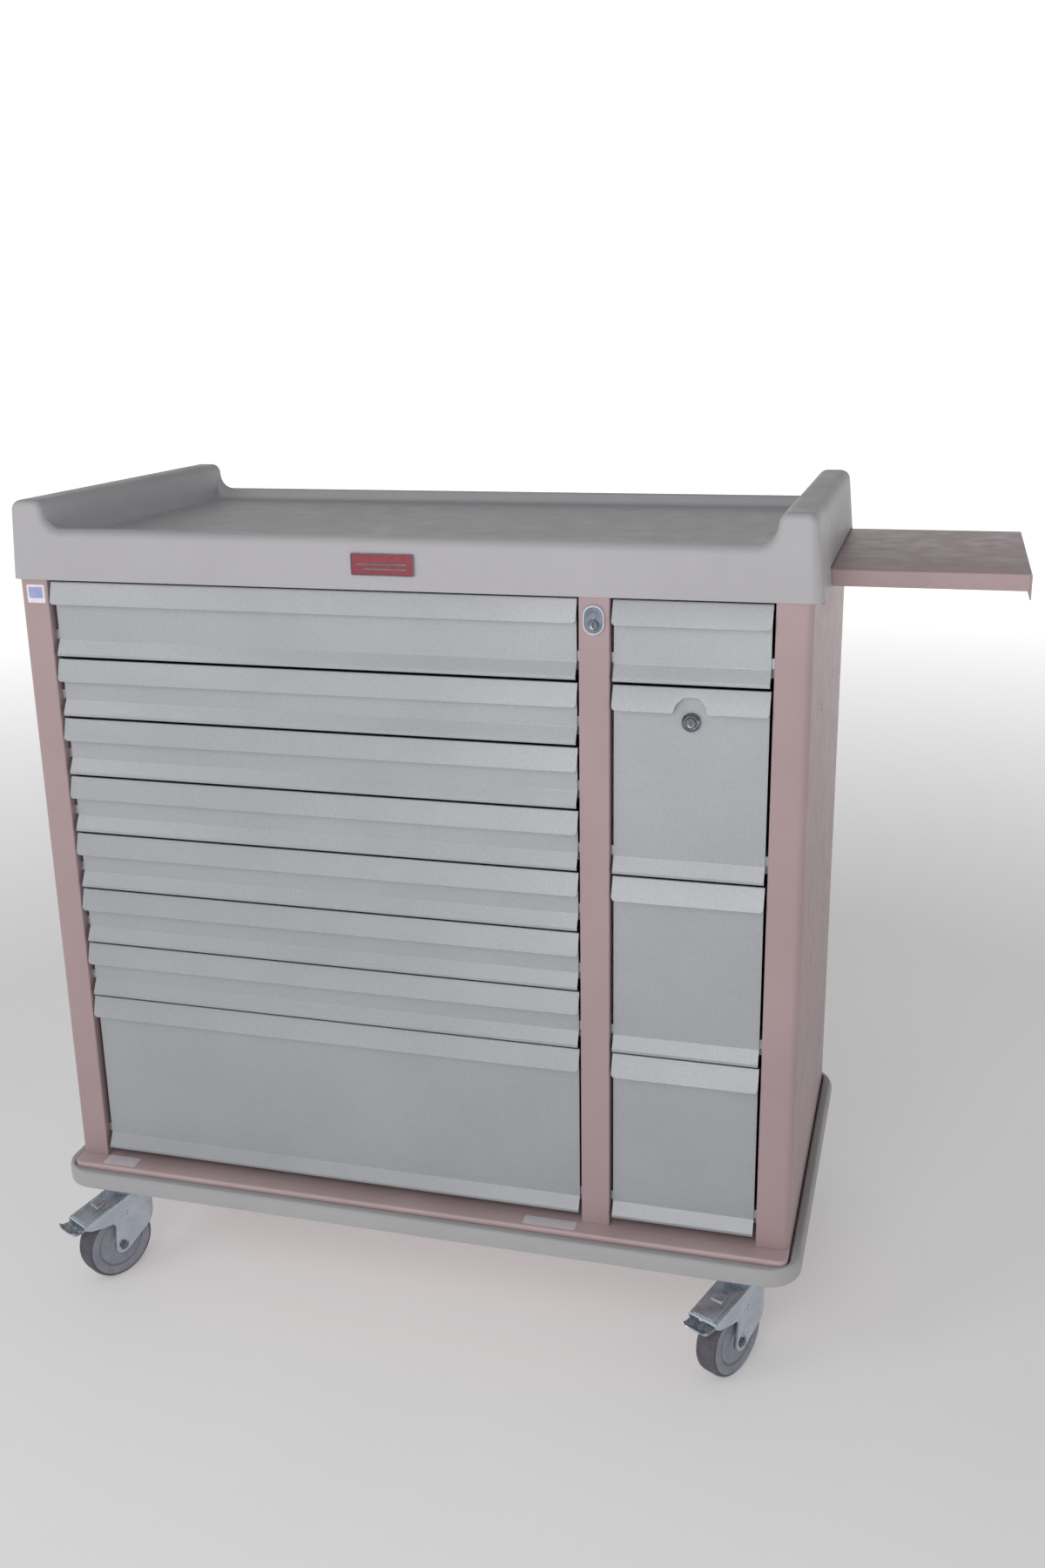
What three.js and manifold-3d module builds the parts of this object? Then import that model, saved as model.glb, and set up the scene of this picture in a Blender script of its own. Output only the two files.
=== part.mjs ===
// Instrument cart: a two-column drawer cabinet on four swivel casters, with a moulded worktop,
// a side shelf that slides in under it, a key lock for the whole cabinet and one drawer with
// a lock of its own.  Millimetres, +Z up.  Pieces are laid out with X from the cabinet's left
// side, Y from its front plane towards the back and Z from the floor.  At the end the whole
// cart is moved so that its origin is the middle of its footprint.
import * as THREE from 'three';
import { mergeVertices } from 'three/addons/utils/BufferGeometryUtils.js';
import Module from 'manifold-3d';

const wasm = await Module();
wasm.setup();

// ---- driving dimensions -------------------------------------------------------------------

const GAP = 0.3;                       // play between pieces that touch
const SHEET = 1.5;                     // thickness of the sheet steel

const CABINET_WIDTH = 985;
const CABINET_DEPTH = 485;
const CABINET_TOP = 995;
const PAN_TOP = 185;                   // height of the base pan that the cabinet stands on
const ROOF_TOP = 993;

const LEFT_POST = 40;                  // width of the front corner posts
const RIGHT_POST = 41.7;
const DIVIDER_LEFT = 721;              // the centre post, between the two columns
const DIVIDER_RIGHT = 757.4;
const POST_RETURN = 15;                // depth of the posts' folded inner edges
const POST_ROUND = 10;                 // rounding of the front corner posts
const POST_CHAMFER = 1;
const REAR_FLANGE = 20;

const DRAWER_PITCH = 77.7;             // one drawer unit
const DRAWER_GAP = 4.5;                // between one front and the next
const FRONTS_TOP = 992;
const TOP_ROW_HEIGHT = 94;
const LIP_HEIGHT = 28;
const FLARE_HEIGHT = 20;
const FRONT_SETBACK = 6.5;             // how far the front panels lie behind the posts' face
const BOX_FRONT = 8.3;
const BOX_BACK = 450;
const BOX_WALL = 1.2;
const BOX_LIFT = 4;                    // of the box's floor over the front's lower edge
const FLARE_PROUD = 2;                 // how far the flared edge stands before the posts
const LIP_CORNER = 5;
const RUNNER_WIDTH = 13;               // the ledges that carry the drawers
const RUNNER_HEIGHT = 12;
const RACK_FRONT = 18;
const RACK_BACK = 476;

const SKIRT_BOTTOM = 995.3;            // worktop moulding
const SKIRT_OVERHANG = 9.3;
const LEDGE_TOP = 1057;
const RAIL_TOP = 1092;
const TRAY_FLOOR = 1043;
const TRAY_INSET = 43;
const WORKTOP_FRONT = -2;
const WORKTOP_BACK = 499;
const WORKTOP_EDGE = 8;                // rounding of the front and back edges
const WORKTOP_CORNER = 16;
const WORKTOP_WALL = 6;
const NAMEPLATE = { left: 449, right: 527, bottom: 1012, top: 1038, proud: 2.5 };

const SHELF_FRONT = 116;               // side shelf, pulled out
const SHELF_BACK = 474.5;
const SHELF_TOP = 1015;
const SHELF_INNER_END = 775;
const SHELF_END = 1213;
const SHELF_END_LIP = 29.5;            // depth of the lip at the shelf's outer end
const SLOT_PLAY = 3;                   // around the shelf in the skirt

const PAN_FRONT = -26;                 // base
const PAN_BACK = 492;
const PAN_BOTTOM = 157;
const BUMPER_PROUD = 17;
const BUMPER_FRONT = -42;
const BUMPER_BACK = 508;
const BUMPER_BOTTOM = 155;
const BUMPER_TOP = 180;
const PAN_CORNER = 12;
const BUMPER_CORNER = 50;

const CASTER_HEIGHT = 135;
const WHEEL_RADIUS = 51;
const WHEEL_WIDTH = 32;
const CASTER_TRAIL = 37;               // from the swivel axis to the axle
const CASTER_ANGLE = 28;               // degrees that the casters are turned from straight
const CASTER_INSET_X = 55;
const CHANNEL_HALF = 36;               // half the width of the channels over the casters
const CASTER_INSET_Y = 58;             // from the pan's front and back edges

const MAIN_LOCK = { x: 739, z: 968.3 };
const DRAWER_LOCK = { x: 851.3, z: 853.5 };
const TRIM = { width: 25.3, height: 35, proud: 3.3 };    // oval trim of the main lock
const BARREL = { width: 20, height: 30 };
const CORE_RADIUS = 6;                 // turning core of both locks
const CORE_BORE = 6.5;
const DRAWER_LOCK_HOLE = 9.4;
const DRAWER_LOCK_BODY = 9;            // radius behind the front
const DRAWER_LOCK_RING = 11;           // radius of its bright ring
const CORE_DROP = 5.5;                 // the core sits in the lower half of the trim
const LOCK_BAR = { half: 10, front: 15.4, back: 17.4, bottom: 200, top: 950 };

// ---- solids -------------------------------------------------------------------------------

const GRID = 1000;                     // corners are snapped to a thousandth of a millimetre

// A three.js geometry as a manifold solid, for cutting and joining.
function solid(geometry) {
  const bare = geometry.clone();
  bare.deleteAttribute('normal');
  bare.deleteAttribute('uv');
  bare.attributes.position.array.forEach((value, index, array) => {
    array[index] = Math.round(value * GRID) / GRID;
  });
  const merged = mergeVertices(bare, 1e-4);
  return new wasm.Manifold(new wasm.Mesh({
    numProp: 3,
    vertProperties: new Float32Array(merged.attributes.position.array),
    triVerts: new Uint32Array(merged.index.array),
  }));
}

function geometryOf(manifold) {
  const mesh = manifold.getMesh();
  const geometry = new THREE.BufferGeometry();
  geometry.setAttribute('position', new THREE.BufferAttribute(mesh.vertProperties, 3));
  geometry.setIndex(new THREE.BufferAttribute(mesh.triVerts, 1));
  geometry.computeVertexNormals();
  return geometry;
}

function join(...solids) {
  return solids.reduce((sum, next) => sum.add(next));
}

function cut(body, ...cutters) {
  return cutters.reduce((rest, cutter) => rest.subtract(cutter), body);
}

// A block between two corners.
function block([x0, y0, z0], [x1, y1, z1]) {
  const geometry = new THREE.BoxGeometry(x1 - x0, y1 - y0, z1 - z0);
  return solid(geometry.translate((x0 + x1) / 2, (y0 + y1) / 2, (z0 + z1) / 2));
}

function extrusion(shape, length, round, segments) {
  return new THREE.ExtrudeGeometry(shape, {
    depth: length - 2 * round,
    steps: 1,
    curveSegments: segments,
    bevelEnabled: round > 0,
    bevelThickness: round,
    bevelSize: round,
    bevelOffset: -round,
    bevelSegments: 2,
  }).translate(0, 0, round);
}

// A shape drawn in plan, (x, y), standing from z0 to z1.
function alongZ(shape, z0, z1, round = 0, segments = 2) {
  return solid(extrusion(shape, z1 - z0, round, segments).translate(0, 0, z0));
}

// A shape drawn from the front, (x, z), running from y0 to y1.
function alongY(shape, y0, y1, round = 0, segments = 2) {
  const geometry = extrusion(shape, y1 - y0, round, segments);
  return solid(geometry.rotateX(Math.PI / 2).translate(0, y1, 0));
}

// A shape drawn from the side, (y, z), running from x0 to x1.
function alongX(shape, x0, x1) {
  const turn = new THREE.Matrix4().set(0, 0, 1, x0, 1, 0, 0, 0, 0, 1, 0, 0, 0, 0, 0, 1);
  return solid(extrusion(shape, x1 - x0, 0, 2).applyMatrix4(turn));
}

function polygon(points) {
  return new THREE.Shape(points.map(([a, b]) => new THREE.Vector2(a, b)));
}

function roundedRectangle(a0, b0, a1, b1, radius) {
  const shape = new THREE.Shape();
  shape.absarc(a1 - radius, b0 + radius, radius, -Math.PI / 2, 0);
  shape.absarc(a1 - radius, b1 - radius, radius, 0, Math.PI / 2);
  shape.absarc(a0 + radius, b1 - radius, radius, Math.PI / 2, Math.PI);
  shape.absarc(a0 + radius, b0 + radius, radius, Math.PI, Math.PI * 1.5);
  return shape;
}

function circle(a, b, radius) {
  return roundedRectangle(a - radius, b - radius, a + radius, b + radius, radius);
}

function hexagon(a, b, radius) {
  const corners = [0, 1, 2, 3, 4, 5].map((corner) => corner * Math.PI / 3);
  return polygon(corners.map((t) => [a + radius * Math.cos(t), b + radius * Math.sin(t)]));
}

// An upright slot with round ends, drawn from the front.
function uprightOval({ x, z }, width, height) {
  const radius = width / 2;
  const reach = height / 2 - radius;
  const shape = new THREE.Shape();
  shape.absarc(x, z + reach, radius, 0, Math.PI);
  shape.absarc(x, z - reach, radius, Math.PI, Math.PI * 2);
  return shape;
}

// The same outline on the cabinet's other side.
function mirrored(points) {
  return points.map(([x, other]) => [CABINET_WIDTH - x, other]);
}

// A round piece about the Z axis.  The profile is a closed loop or starts and ends on the axis.
function turned(profile, segments) {
  const points = profile.map(([radius, z]) => new THREE.Vector2(radius, z));
  return solid(new THREE.LatheGeometry(points, segments).rotateX(Math.PI / 2));
}

// ---- finishes and the tree ----------------------------------------------------------------

function finish(color, roughness, metalness) {
  return new THREE.MeshStandardMaterial({ color, roughness, metalness });
}

const rosePaint = finish(0xa98f90, 0.45, 0.1);
const silverCoat = finish(0xa9adb3, 0.4, 0.4);
const greyPlastic = finish(0xa8a8a8, 0.5, 0);
const galvanised = finish(0x9aa0a6, 0.45, 0.8);
const zincPlate = finish(0x98a0aa, 0.3, 0.9);
const clearTrim = finish(0xd4d8da, 0.3, 0);
const wheelGrey = finish(0x7d808a, 0.6, 0);
const redEnamel = finish(0x9a2038, 0.3, 0);

const cart = new THREE.Group();

function add(name, manifold, material, parent = cart) {
  const mesh = new THREE.Mesh(geometryOf(manifold), material);
  mesh.name = name;
  parent.add(mesh);
  return mesh;
}

// ---- cabinet shell ------------------------------------------------------------------------

// A side panel in plan: rounded front post with a folded edge, side wall, rear flange.
function sidePanelOutline(postWidth) {
  const outer = new THREE.Path();
  outer.moveTo(postWidth, 0);
  outer.lineTo(POST_ROUND, 0);
  outer.absarc(POST_ROUND, POST_ROUND, POST_ROUND, -Math.PI / 2, Math.PI, true);
  outer.lineTo(0, CABINET_DEPTH);
  const outside = outer.getPoints(2).map(({ x, y }) => [x, y]);
  const inner = new THREE.Path();
  inner.moveTo(SHEET, CABINET_DEPTH - SHEET);
  inner.lineTo(SHEET, POST_ROUND);
  inner.absarc(POST_ROUND, POST_ROUND, POST_ROUND - SHEET, Math.PI, Math.PI * 1.5, false);
  inner.lineTo(postWidth - SHEET, SHEET);
  const inside = inner.getPoints(2).map(({ x, y }) => [x, y]);
  return [
    ...outside,
    [REAR_FLANGE, CABINET_DEPTH],
    [REAR_FLANGE, CABINET_DEPTH - SHEET],
    ...inside,
    [postWidth - SHEET, POST_RETURN],
    [postWidth, POST_RETURN],
  ];
}

function buildShell() {
  const bottom = PAN_TOP + GAP;
  const left = polygon(sidePanelOutline(LEFT_POST));
  const right = polygon(mirrored(sidePanelOutline(RIGHT_POST)));
  add('left_side_panel', alongZ(left, bottom, CABINET_TOP), rosePaint);
  add('right_side_panel', alongZ(right, bottom, CABINET_TOP), rosePaint);

  const inset = SHEET + GAP;
  const back = CABINET_DEPTH - SHEET - GAP;
  const roofBottom = ROOF_TOP - SHEET;
  add('back_panel', block([inset, back - SHEET, bottom],
    [CABINET_WIDTH - inset, back, roofBottom - GAP]), rosePaint);
  add('roof_panel', block([inset, POST_RETURN + 1, roofBottom],
    [CABINET_WIDTH - inset, back, ROOF_TOP]), galvanised);

  const post = polygon([
    [DIVIDER_LEFT, POST_RETURN], [DIVIDER_LEFT, POST_CHAMFER], [DIVIDER_LEFT + POST_CHAMFER, 0],
    [DIVIDER_RIGHT - POST_CHAMFER, 0], [DIVIDER_RIGHT, POST_CHAMFER],
    [DIVIDER_RIGHT, POST_RETURN],
    [DIVIDER_RIGHT - SHEET, POST_RETURN], [DIVIDER_RIGHT - SHEET, SHEET],
    [DIVIDER_LEFT + SHEET, SHEET], [DIVIDER_LEFT + SHEET, POST_RETURN],
  ]);
  const hole = uprightOval(MAIN_LOCK, BARREL.width + 2 * GAP, BARREL.height + 2 * GAP);
  const lockHole = alongY(hole, -1, SHEET + 1);
  add('centre_post', cut(alongZ(post, bottom, CABINET_TOP), lockHole), rosePaint);
}

// ---- drawer racks and the wall between the columns ----------------------------------------

// The units in each column, from the top down.  The first drawer is the shallow top row.
const columns = [
  {
    side: 'left', from: LEFT_POST, to: DIVIDER_LEFT,
    units: [1, 1, 1, 1, 1, 1, 1, 3], lipMargin: 2.7, panelMargin: 9, lipProud: 3,
  },
  {
    side: 'right', from: DIVIDER_RIGHT, to: CABINET_WIDTH - RIGHT_POST,
    units: [1, 3, 3, 3], lipMargin: 2.8, panelMargin: 4.6, lipProud: 6,
  },
];

// Top and bottom of every front in a column.
function frontHeights(column) {
  const rows = [];
  let top = FRONTS_TOP;
  column.units.forEach((units, index) => {
    const height = index === 0 ? TOP_ROW_HEIGHT : units * DRAWER_PITCH - DRAWER_GAP;
    const bottom = top - height;
    rows.push({ top, bottom });
    top = bottom - DRAWER_GAP;
  });
  return rows;
}

// Height of the rack ledge that carries the drawer.
function ledgeTop(row) {
  return row.bottom + FLARE_HEIGHT;
}

// One wall of ledges, seen from ahead as a comb.  face is the side that the ledges stand on and
// grow, +1 or -1, is the way they point.  back is where the outer racks' flanges end.
function rack(face, grow, column, back) {
  const bottom = PAN_TOP + GAP;
  const top = ROOF_TOP - SHEET - GAP;
  const tip = face + grow * RUNNER_WIDTH;
  const teeth = frontHeights(column).map(ledgeTop).flatMap((high) => [
    [face, high], [tip, high], [tip, high - RUNNER_HEIGHT], [face, high - RUNNER_HEIGHT],
  ]);
  const comb = polygon([
    [face - grow * SHEET, bottom], [face - grow * SHEET, top], [face, top], ...teeth,
    [face, bottom],
  ]);
  const wall = alongY(comb, RACK_FRONT, RACK_BACK);
  if (back === undefined) {
    return wall;
  }
  const middle = face - grow * SHEET / 2;
  const flanges = [RACK_FRONT + 2, RACK_BACK - 2 - SHEET].map((y) => (
    block([Math.min(middle, back), y, bottom + 2], [Math.max(middle, back), y + SHEET, top - 2])));
  return join(wall, ...flanges);
}

function buildRacks() {
  const [left, right] = columns;
  const inner = SHEET + GAP;
  const leftOuter = rack(LEFT_POST, 1, left, inner);
  const rightOuter = rack(CABINET_WIDTH - RIGHT_POST, -1, right, CABINET_WIDTH - inner);
  const leftInner = rack(DIVIDER_LEFT, -1, left);
  const rightInner = rack(DIVIDER_RIGHT, 1, right);
  add('left_outer_rack', leftOuter, galvanised);
  add('left_inner_rack', leftInner, galvanised);
  add('right_inner_rack', rightInner, galvanised);
  add('right_outer_rack', rightOuter, galvanised);

  const wallLeft = DIVIDER_LEFT + SHEET + GAP;
  const wallRight = DIVIDER_RIGHT - SHEET - GAP;
  const middle = (wallLeft + wallRight) / 2;
  const front = RACK_FRONT + 1;
  const back = RACK_BACK;
  const outline = polygon([
    [wallLeft, front], [wallRight, front], [wallRight, front + SHEET],
    [middle + SHEET / 2, front + SHEET], [middle + SHEET / 2, back - SHEET],
    [wallRight, back - SHEET], [wallRight, back], [wallLeft, back],
    [wallLeft, back - SHEET], [middle - SHEET / 2, back - SHEET],
    [middle - SHEET / 2, front + SHEET], [wallLeft, front + SHEET],
  ]);
  add('partition', alongZ(outline, PAN_TOP + GAP, ROOF_TOP - SHEET - GAP), galvanised);
}

// ---- drawers ------------------------------------------------------------------------------

// The bent sheet of a drawer front, seen from its end: a pull lip folded forward and down over
// the panel, and a lower edge that flares forward.
function frontProfile({ top, bottom }, lipProud) {
  const panel = FRONT_SETBACK;
  const lipBottom = top - LIP_HEIGHT;
  const flareTop = bottom + FLARE_HEIGHT;
  return polygon([
    [-FLARE_PROUD, bottom], [-FLARE_PROUD, bottom + SHEET], [panel, flareTop], [panel, top - 1.2],
    [SHEET - lipProud, lipBottom], [-lipProud, lipBottom],
    [panel - 1.6, top - 0.5], [panel - 0.6, top], [panel + SHEET - 0.6, top],
    [panel + SHEET, top - 0.6], [panel + SHEET, flareTop + 0.5],
    [0, bottom + SHEET + 0.6], [1, bottom + SHEET], [1, bottom],
  ]);
}

// The front seen from ahead: the lip is a little wider than the panel, with round lower corners.
function frontOutline({ top, bottom }, column) {
  const lip = [column.from + column.lipMargin, column.to - column.lipMargin];
  const panel = [column.from + column.panelMargin, column.to - column.panelMargin];
  const radius = LIP_CORNER;
  const lipBottom = top - LIP_HEIGHT;
  const shape = new THREE.Shape();
  shape.moveTo(lip[0], top);
  shape.lineTo(lip[0], lipBottom + radius);
  shape.absarc(lip[0] + radius, lipBottom + radius, radius, Math.PI, Math.PI * 1.5);
  shape.lineTo(Math.max(panel[0], lip[0] + radius + 0.1), lipBottom);
  shape.lineTo(panel[0], lipBottom - 0.1);
  shape.lineTo(panel[0], bottom);
  shape.lineTo(panel[1], bottom);
  shape.lineTo(panel[1], lipBottom - 0.1);
  shape.lineTo(Math.min(panel[1], lip[1] - radius - 0.1), lipBottom);
  shape.absarc(lip[1] - radius, lipBottom + radius, radius, -Math.PI / 2, 0);
  shape.lineTo(lip[1], top);
  return shape;
}

function drawerFront(row, column) {
  const sheet = alongX(frontProfile(row, column.lipProud), column.from, column.to);
  return sheet.intersect(alongY(frontOutline(row, column), -20, 20));
}

// The tray behind a front, with the ledges at its sides that ride on the racks.
function drawerBox(row, column) {
  const ledge = ledgeTop(row) + GAP;
  const inset = RUNNER_WIDTH + 1;
  const left = column.from + inset;
  const right = column.to - inset;
  const low = row.bottom + BOX_LIFT;
  const high = row.top - RUNNER_HEIGHT;
  const outside = block([left, BOX_FRONT, low], [right, BOX_BACK, high]);
  const inside = block([left + BOX_WALL, BOX_FRONT + BOX_WALL, low + BOX_WALL],
    [right - BOX_WALL, BOX_BACK - BOX_WALL, high + 1]);
  const reach = inset - 0.5;
  const runners = [[left - reach, left + 0.5], [right - 0.5, right + reach]].map(([a, b]) => (
    block([a, BOX_FRONT + BOX_WALL, ledge], [b, BOX_BACK, ledge + RUNNER_HEIGHT])));
  return cut(join(outside, ...runners), inside);
}

function buildDrawers() {
  for (const column of columns) {
    frontHeights(column).forEach((row, index) => {
      const name = `${column.side}_drawer_${index + 1}`;
      const locked = column.side === 'right' && index === 1;
      let front = drawerFront(row, column);
      let box = drawerBox(row, column);
      if (locked) {
        const lockHole = alongY(circle(DRAWER_LOCK.x, DRAWER_LOCK.z, DRAWER_LOCK_HOLE), 0, 20);
        front = cut(front, lockNotch(row), lockHole);
        box = cut(box, lockHole);
      }
      add(`${name}_front`, front, silverCoat);
      add(`${name}_box`, box, galvanised);
    });
  }
}

// The bay in the lip that leaves room for the drawer's own lock.
function lockNotch(row) {
  const { x } = DRAWER_LOCK;
  const lipBottom = row.top - LIP_HEIGHT;
  const shape = new THREE.Shape();
  shape.moveTo(x - 25, lipBottom - 1);
  shape.lineTo(x - 24, lipBottom);
  shape.quadraticCurveTo(x - 18, lipBottom + 1, x - 17, lipBottom + 7);
  shape.quadraticCurveTo(x - 14, lipBottom + 17, x, lipBottom + 17);
  shape.quadraticCurveTo(x + 14, lipBottom + 17, x + 17, lipBottom + 7);
  shape.quadraticCurveTo(x + 18, lipBottom + 1, x + 24, lipBottom);
  shape.lineTo(x + 25, lipBottom - 1);
  return alongY(shape, -20, FRONT_SETBACK - 0.2);
}

// ---- locks --------------------------------------------------------------------------------

function buildLocks() {
  const plug = { x: MAIN_LOCK.x, z: MAIN_LOCK.z - CORE_DROP };
  const bezel = alongY(uprightOval(MAIN_LOCK, TRIM.width, TRIM.height), -TRIM.proud, -GAP, 0.9);
  const barrel = alongY(uprightOval(MAIN_LOCK, BARREL.width, BARREL.height), -1, 12);
  const bore = alongY(circle(plug.x, plug.z, CORE_BORE), -5, 20);
  add('main_lock_housing', cut(join(bezel, barrel), bore), clearTrim);
  add('main_lock_plug', lockPlug(plug, -3.6, 12.4, 14), zincPlate);

  add('lock_bar', block([MAIN_LOCK.x - LOCK_BAR.half, LOCK_BAR.front, LOCK_BAR.bottom],
    [MAIN_LOCK.x + LOCK_BAR.half, LOCK_BAR.back, LOCK_BAR.top]), galvanised);

  const { x, z } = DRAWER_LOCK;
  const flange = alongY(circle(x, z, DRAWER_LOCK_RING), -0.5, FRONT_SETBACK - GAP, 0.8);
  const body = alongY(circle(x, z, DRAWER_LOCK_BODY), FRONT_SETBACK - 1, 30);
  const hole = alongY(circle(x, z, CORE_BORE), -5, 40);
  add('controlled_lock_housing', cut(join(flange, body), hole), zincPlate);
  add('controlled_lock_plug', lockPlug(DRAWER_LOCK, -0.9, 30.4, 15), zincPlate);
}

// The turning core of a lock, with its key slot in front and a cam behind.
function lockPlug({ x, z }, front, back, camLength) {
  const core = alongY(circle(x, z, CORE_RADIUS), front, back + 0.5);
  const keySlot = block([x - 0.9, front - 1, z - 3.6], [x + 0.9, front + 2.5, z + 3.6]);
  const cam = block([x - 4.5, back, z - camLength], [x + 4.5, back + 2, z + 5]);
  return cut(join(core, cam), keySlot);
}

// ---- worktop ------------------------------------------------------------------------------

// The worktop from the front: a low ledge between two side rails that sweep up from it.
function worktopOutline() {
  const foot = SKIRT_BOTTOM - 10;
  const half = new THREE.Path();
  half.moveTo(-SKIRT_OVERHANG, foot);
  half.lineTo(-SKIRT_OVERHANG, SKIRT_BOTTOM);
  half.lineTo(0.5, RAIL_TOP - 12);
  half.quadraticCurveTo(1, RAIL_TOP, 13, RAIL_TOP);
  half.lineTo(29, RAIL_TOP);
  half.quadraticCurveTo(39, RAIL_TOP, 41, RAIL_TOP - 14);
  half.lineTo(43, LEDGE_TOP + 14);
  half.quadraticCurveTo(46, LEDGE_TOP, 68, LEDGE_TOP);
  const left = half.getPoints(5).map(({ x, y }) => [x, y]);
  return polygon([...left, ...mirrored(left).reverse()]);
}

function buildWorktop() {
  const outline = alongY(worktopOutline(), WORKTOP_FRONT, WORKTOP_BACK, WORKTOP_EDGE);
  const plan = roundedRectangle(-SKIRT_OVERHANG, WORKTOP_FRONT, CABINET_WIDTH + SKIRT_OVERHANG,
    WORKTOP_BACK, WORKTOP_CORNER);
  const body = outline.intersect(alongZ(plan, SKIRT_BOTTOM, RAIL_TOP + 1));

  const trayPlan = roundedRectangle(TRAY_INSET, 12, CABINET_WIDTH - TRAY_INSET, 478, 14);
  const tray = alongZ(trayPlan, TRAY_FLOOR, RAIL_TOP + 20, 5);
  const under = alongZ(roundedRectangle(-3, 3.5, CABINET_WIDTH + 3, WORKTOP_BACK - 5.5, 10),
    SKIRT_BOTTOM - 10, TRAY_FLOOR - WORKTOP_WALL);
  const railHollows = [[7, 36], [CABINET_WIDTH - 36, CABINET_WIDTH - 7]].map(([a, b]) => (
    block([a, 14, TRAY_FLOOR - 10], [b, WORKTOP_BACK - 16, RAIL_TOP - 8])));
  const shelfSlot = block([CABINET_WIDTH - 1, SHELF_FRONT - SLOT_PLAY, SKIRT_BOTTOM - 10],
    [CABINET_WIDTH + 20, SHELF_BACK + SLOT_PLAY, SHELF_TOP + SLOT_PLAY - 0.5]);
  const shell = cut(body, tray, under, ...railHollows, shelfSlot);
  const ribs = [200, 400].map((x) => (
    block([x, 3, ROOF_TOP + GAP], [x + 4, WORKTOP_BACK - 5, TRAY_FLOOR - 5])));
  add('worktop', join(shell, ...ribs), greyPlastic);

  const { left, right, bottom, top, proud } = NAMEPLATE;
  add('nameplate', alongY(roundedRectangle(left, bottom, right, top, 2), WORKTOP_FRONT - proud,
    WORKTOP_FRONT - GAP), redEnamel);
}

// ---- side shelf ---------------------------------------------------------------------------

function buildSideShelf() {
  const apronBottom = CABINET_TOP + GAP;
  const channel = polygon([
    [SHELF_FRONT, apronBottom], [SHELF_FRONT, SHELF_TOP], [SHELF_BACK, SHELF_TOP],
    [SHELF_BACK, apronBottom], [SHELF_BACK - SHEET, apronBottom],
    [SHELF_BACK - SHEET, SHELF_TOP - SHEET], [SHELF_FRONT + SHEET, SHELF_TOP - SHEET],
    [SHELF_FRONT + SHEET, apronBottom],
  ]);
  const endLip = block([SHELF_END - SHEET, SHELF_FRONT, SHELF_TOP - SHELF_END_LIP],
    [SHELF_END, SHELF_BACK, SHELF_TOP]);
  add('side_shelf', join(alongX(channel, SHELF_INNER_END, SHELF_END), endLip), rosePaint);

  const runners = [['shelf_runner_front', SHELF_FRONT, 1], ['shelf_runner_back', SHELF_BACK, -1]];
  for (const [name, edge, inward] of runners) {
    const place = (offset, z) => [edge + inward * offset, z];
    const low = ROOF_TOP + GAP;
    const high = SHELF_TOP + GAP + SHEET;
    const section = polygon([
      place(10, low), place(-2, low), place(-2, high), place(10, high),
      place(10, high - SHEET), place(-GAP, high - SHEET), place(-GAP, low + SHEET),
      place(10, low + SHEET),
    ]);
    add(name, alongX(section, SHELF_INNER_END - 215, CABINET_WIDTH - 4), galvanised);
  }
}

// ---- base ---------------------------------------------------------------------------------

function buildBase() {
  const pan = alongZ(roundedRectangle(0, PAN_FRONT, CABINET_WIDTH, PAN_BACK, PAN_CORNER),
    PAN_BOTTOM, PAN_TOP, 0, 3);
  const inside = alongZ(roundedRectangle(SHEET, PAN_FRONT + SHEET, CABINET_WIDTH - SHEET,
    PAN_BACK - SHEET, PAN_CORNER - SHEET), PAN_BOTTOM - 5, PAN_TOP - SHEET);
  const channels = [PAN_FRONT + CASTER_INSET_Y, PAN_BACK - CASTER_INSET_Y].map(casterChannel);
  add('floor_pan', join(cut(pan, inside), ...channels), rosePaint);

  const ring = alongZ(roundedRectangle(-BUMPER_PROUD, BUMPER_FRONT, CABINET_WIDTH + BUMPER_PROUD,
    BUMPER_BACK, BUMPER_CORNER), BUMPER_BOTTOM, BUMPER_TOP, 4, 4);
  const hole = alongZ(roundedRectangle(-GAP, PAN_FRONT - GAP, CABINET_WIDTH + GAP,
    PAN_BACK + GAP, PAN_CORNER), BUMPER_BOTTOM - 5, BUMPER_TOP + 5);
  const groove = alongZ(roundedRectangle(-2, PAN_FRONT - 2, CABINET_WIDTH + 2, PAN_BACK + 2,
    PAN_CORNER + 2), BUMPER_TOP - 12, BUMPER_TOP + 5);
  add('bumper', cut(ring, hole, groove), greyPlastic);
}

// A hat-shaped channel under the pan that a pair of casters is bolted to.
function casterChannel(y) {
  const half = CHANNEL_HALF;
  const low = CASTER_HEIGHT + GAP;
  const high = PAN_TOP - 1;
  const outline = polygon([
    [y - half, low], [y + half, low], [y + half, high], [y + half - SHEET, high],
    [y + half - SHEET, low + 2], [y - half + SHEET, low + 2], [y - half + SHEET, high],
    [y - half, high],
  ]);
  return alongX(outline, 12, CABINET_WIDTH - 12);
}

// ---- casters ------------------------------------------------------------------------------
// Each caster is drawn about its swivel axis: x towards the wheel, y along the axle.

const AXLE_HEIGHT = WHEEL_RADIUS;
const HOOD_TOP = 125;
const CHEEK_INNER = 19.5;
const CHEEK_OUTER = 22;
const HOOD_END = 94;                   // where the hood stops, past the wheel
const HOOD_TIP = 105;
const PEDAL_PIVOT = { x: 68, z: 103 };

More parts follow.
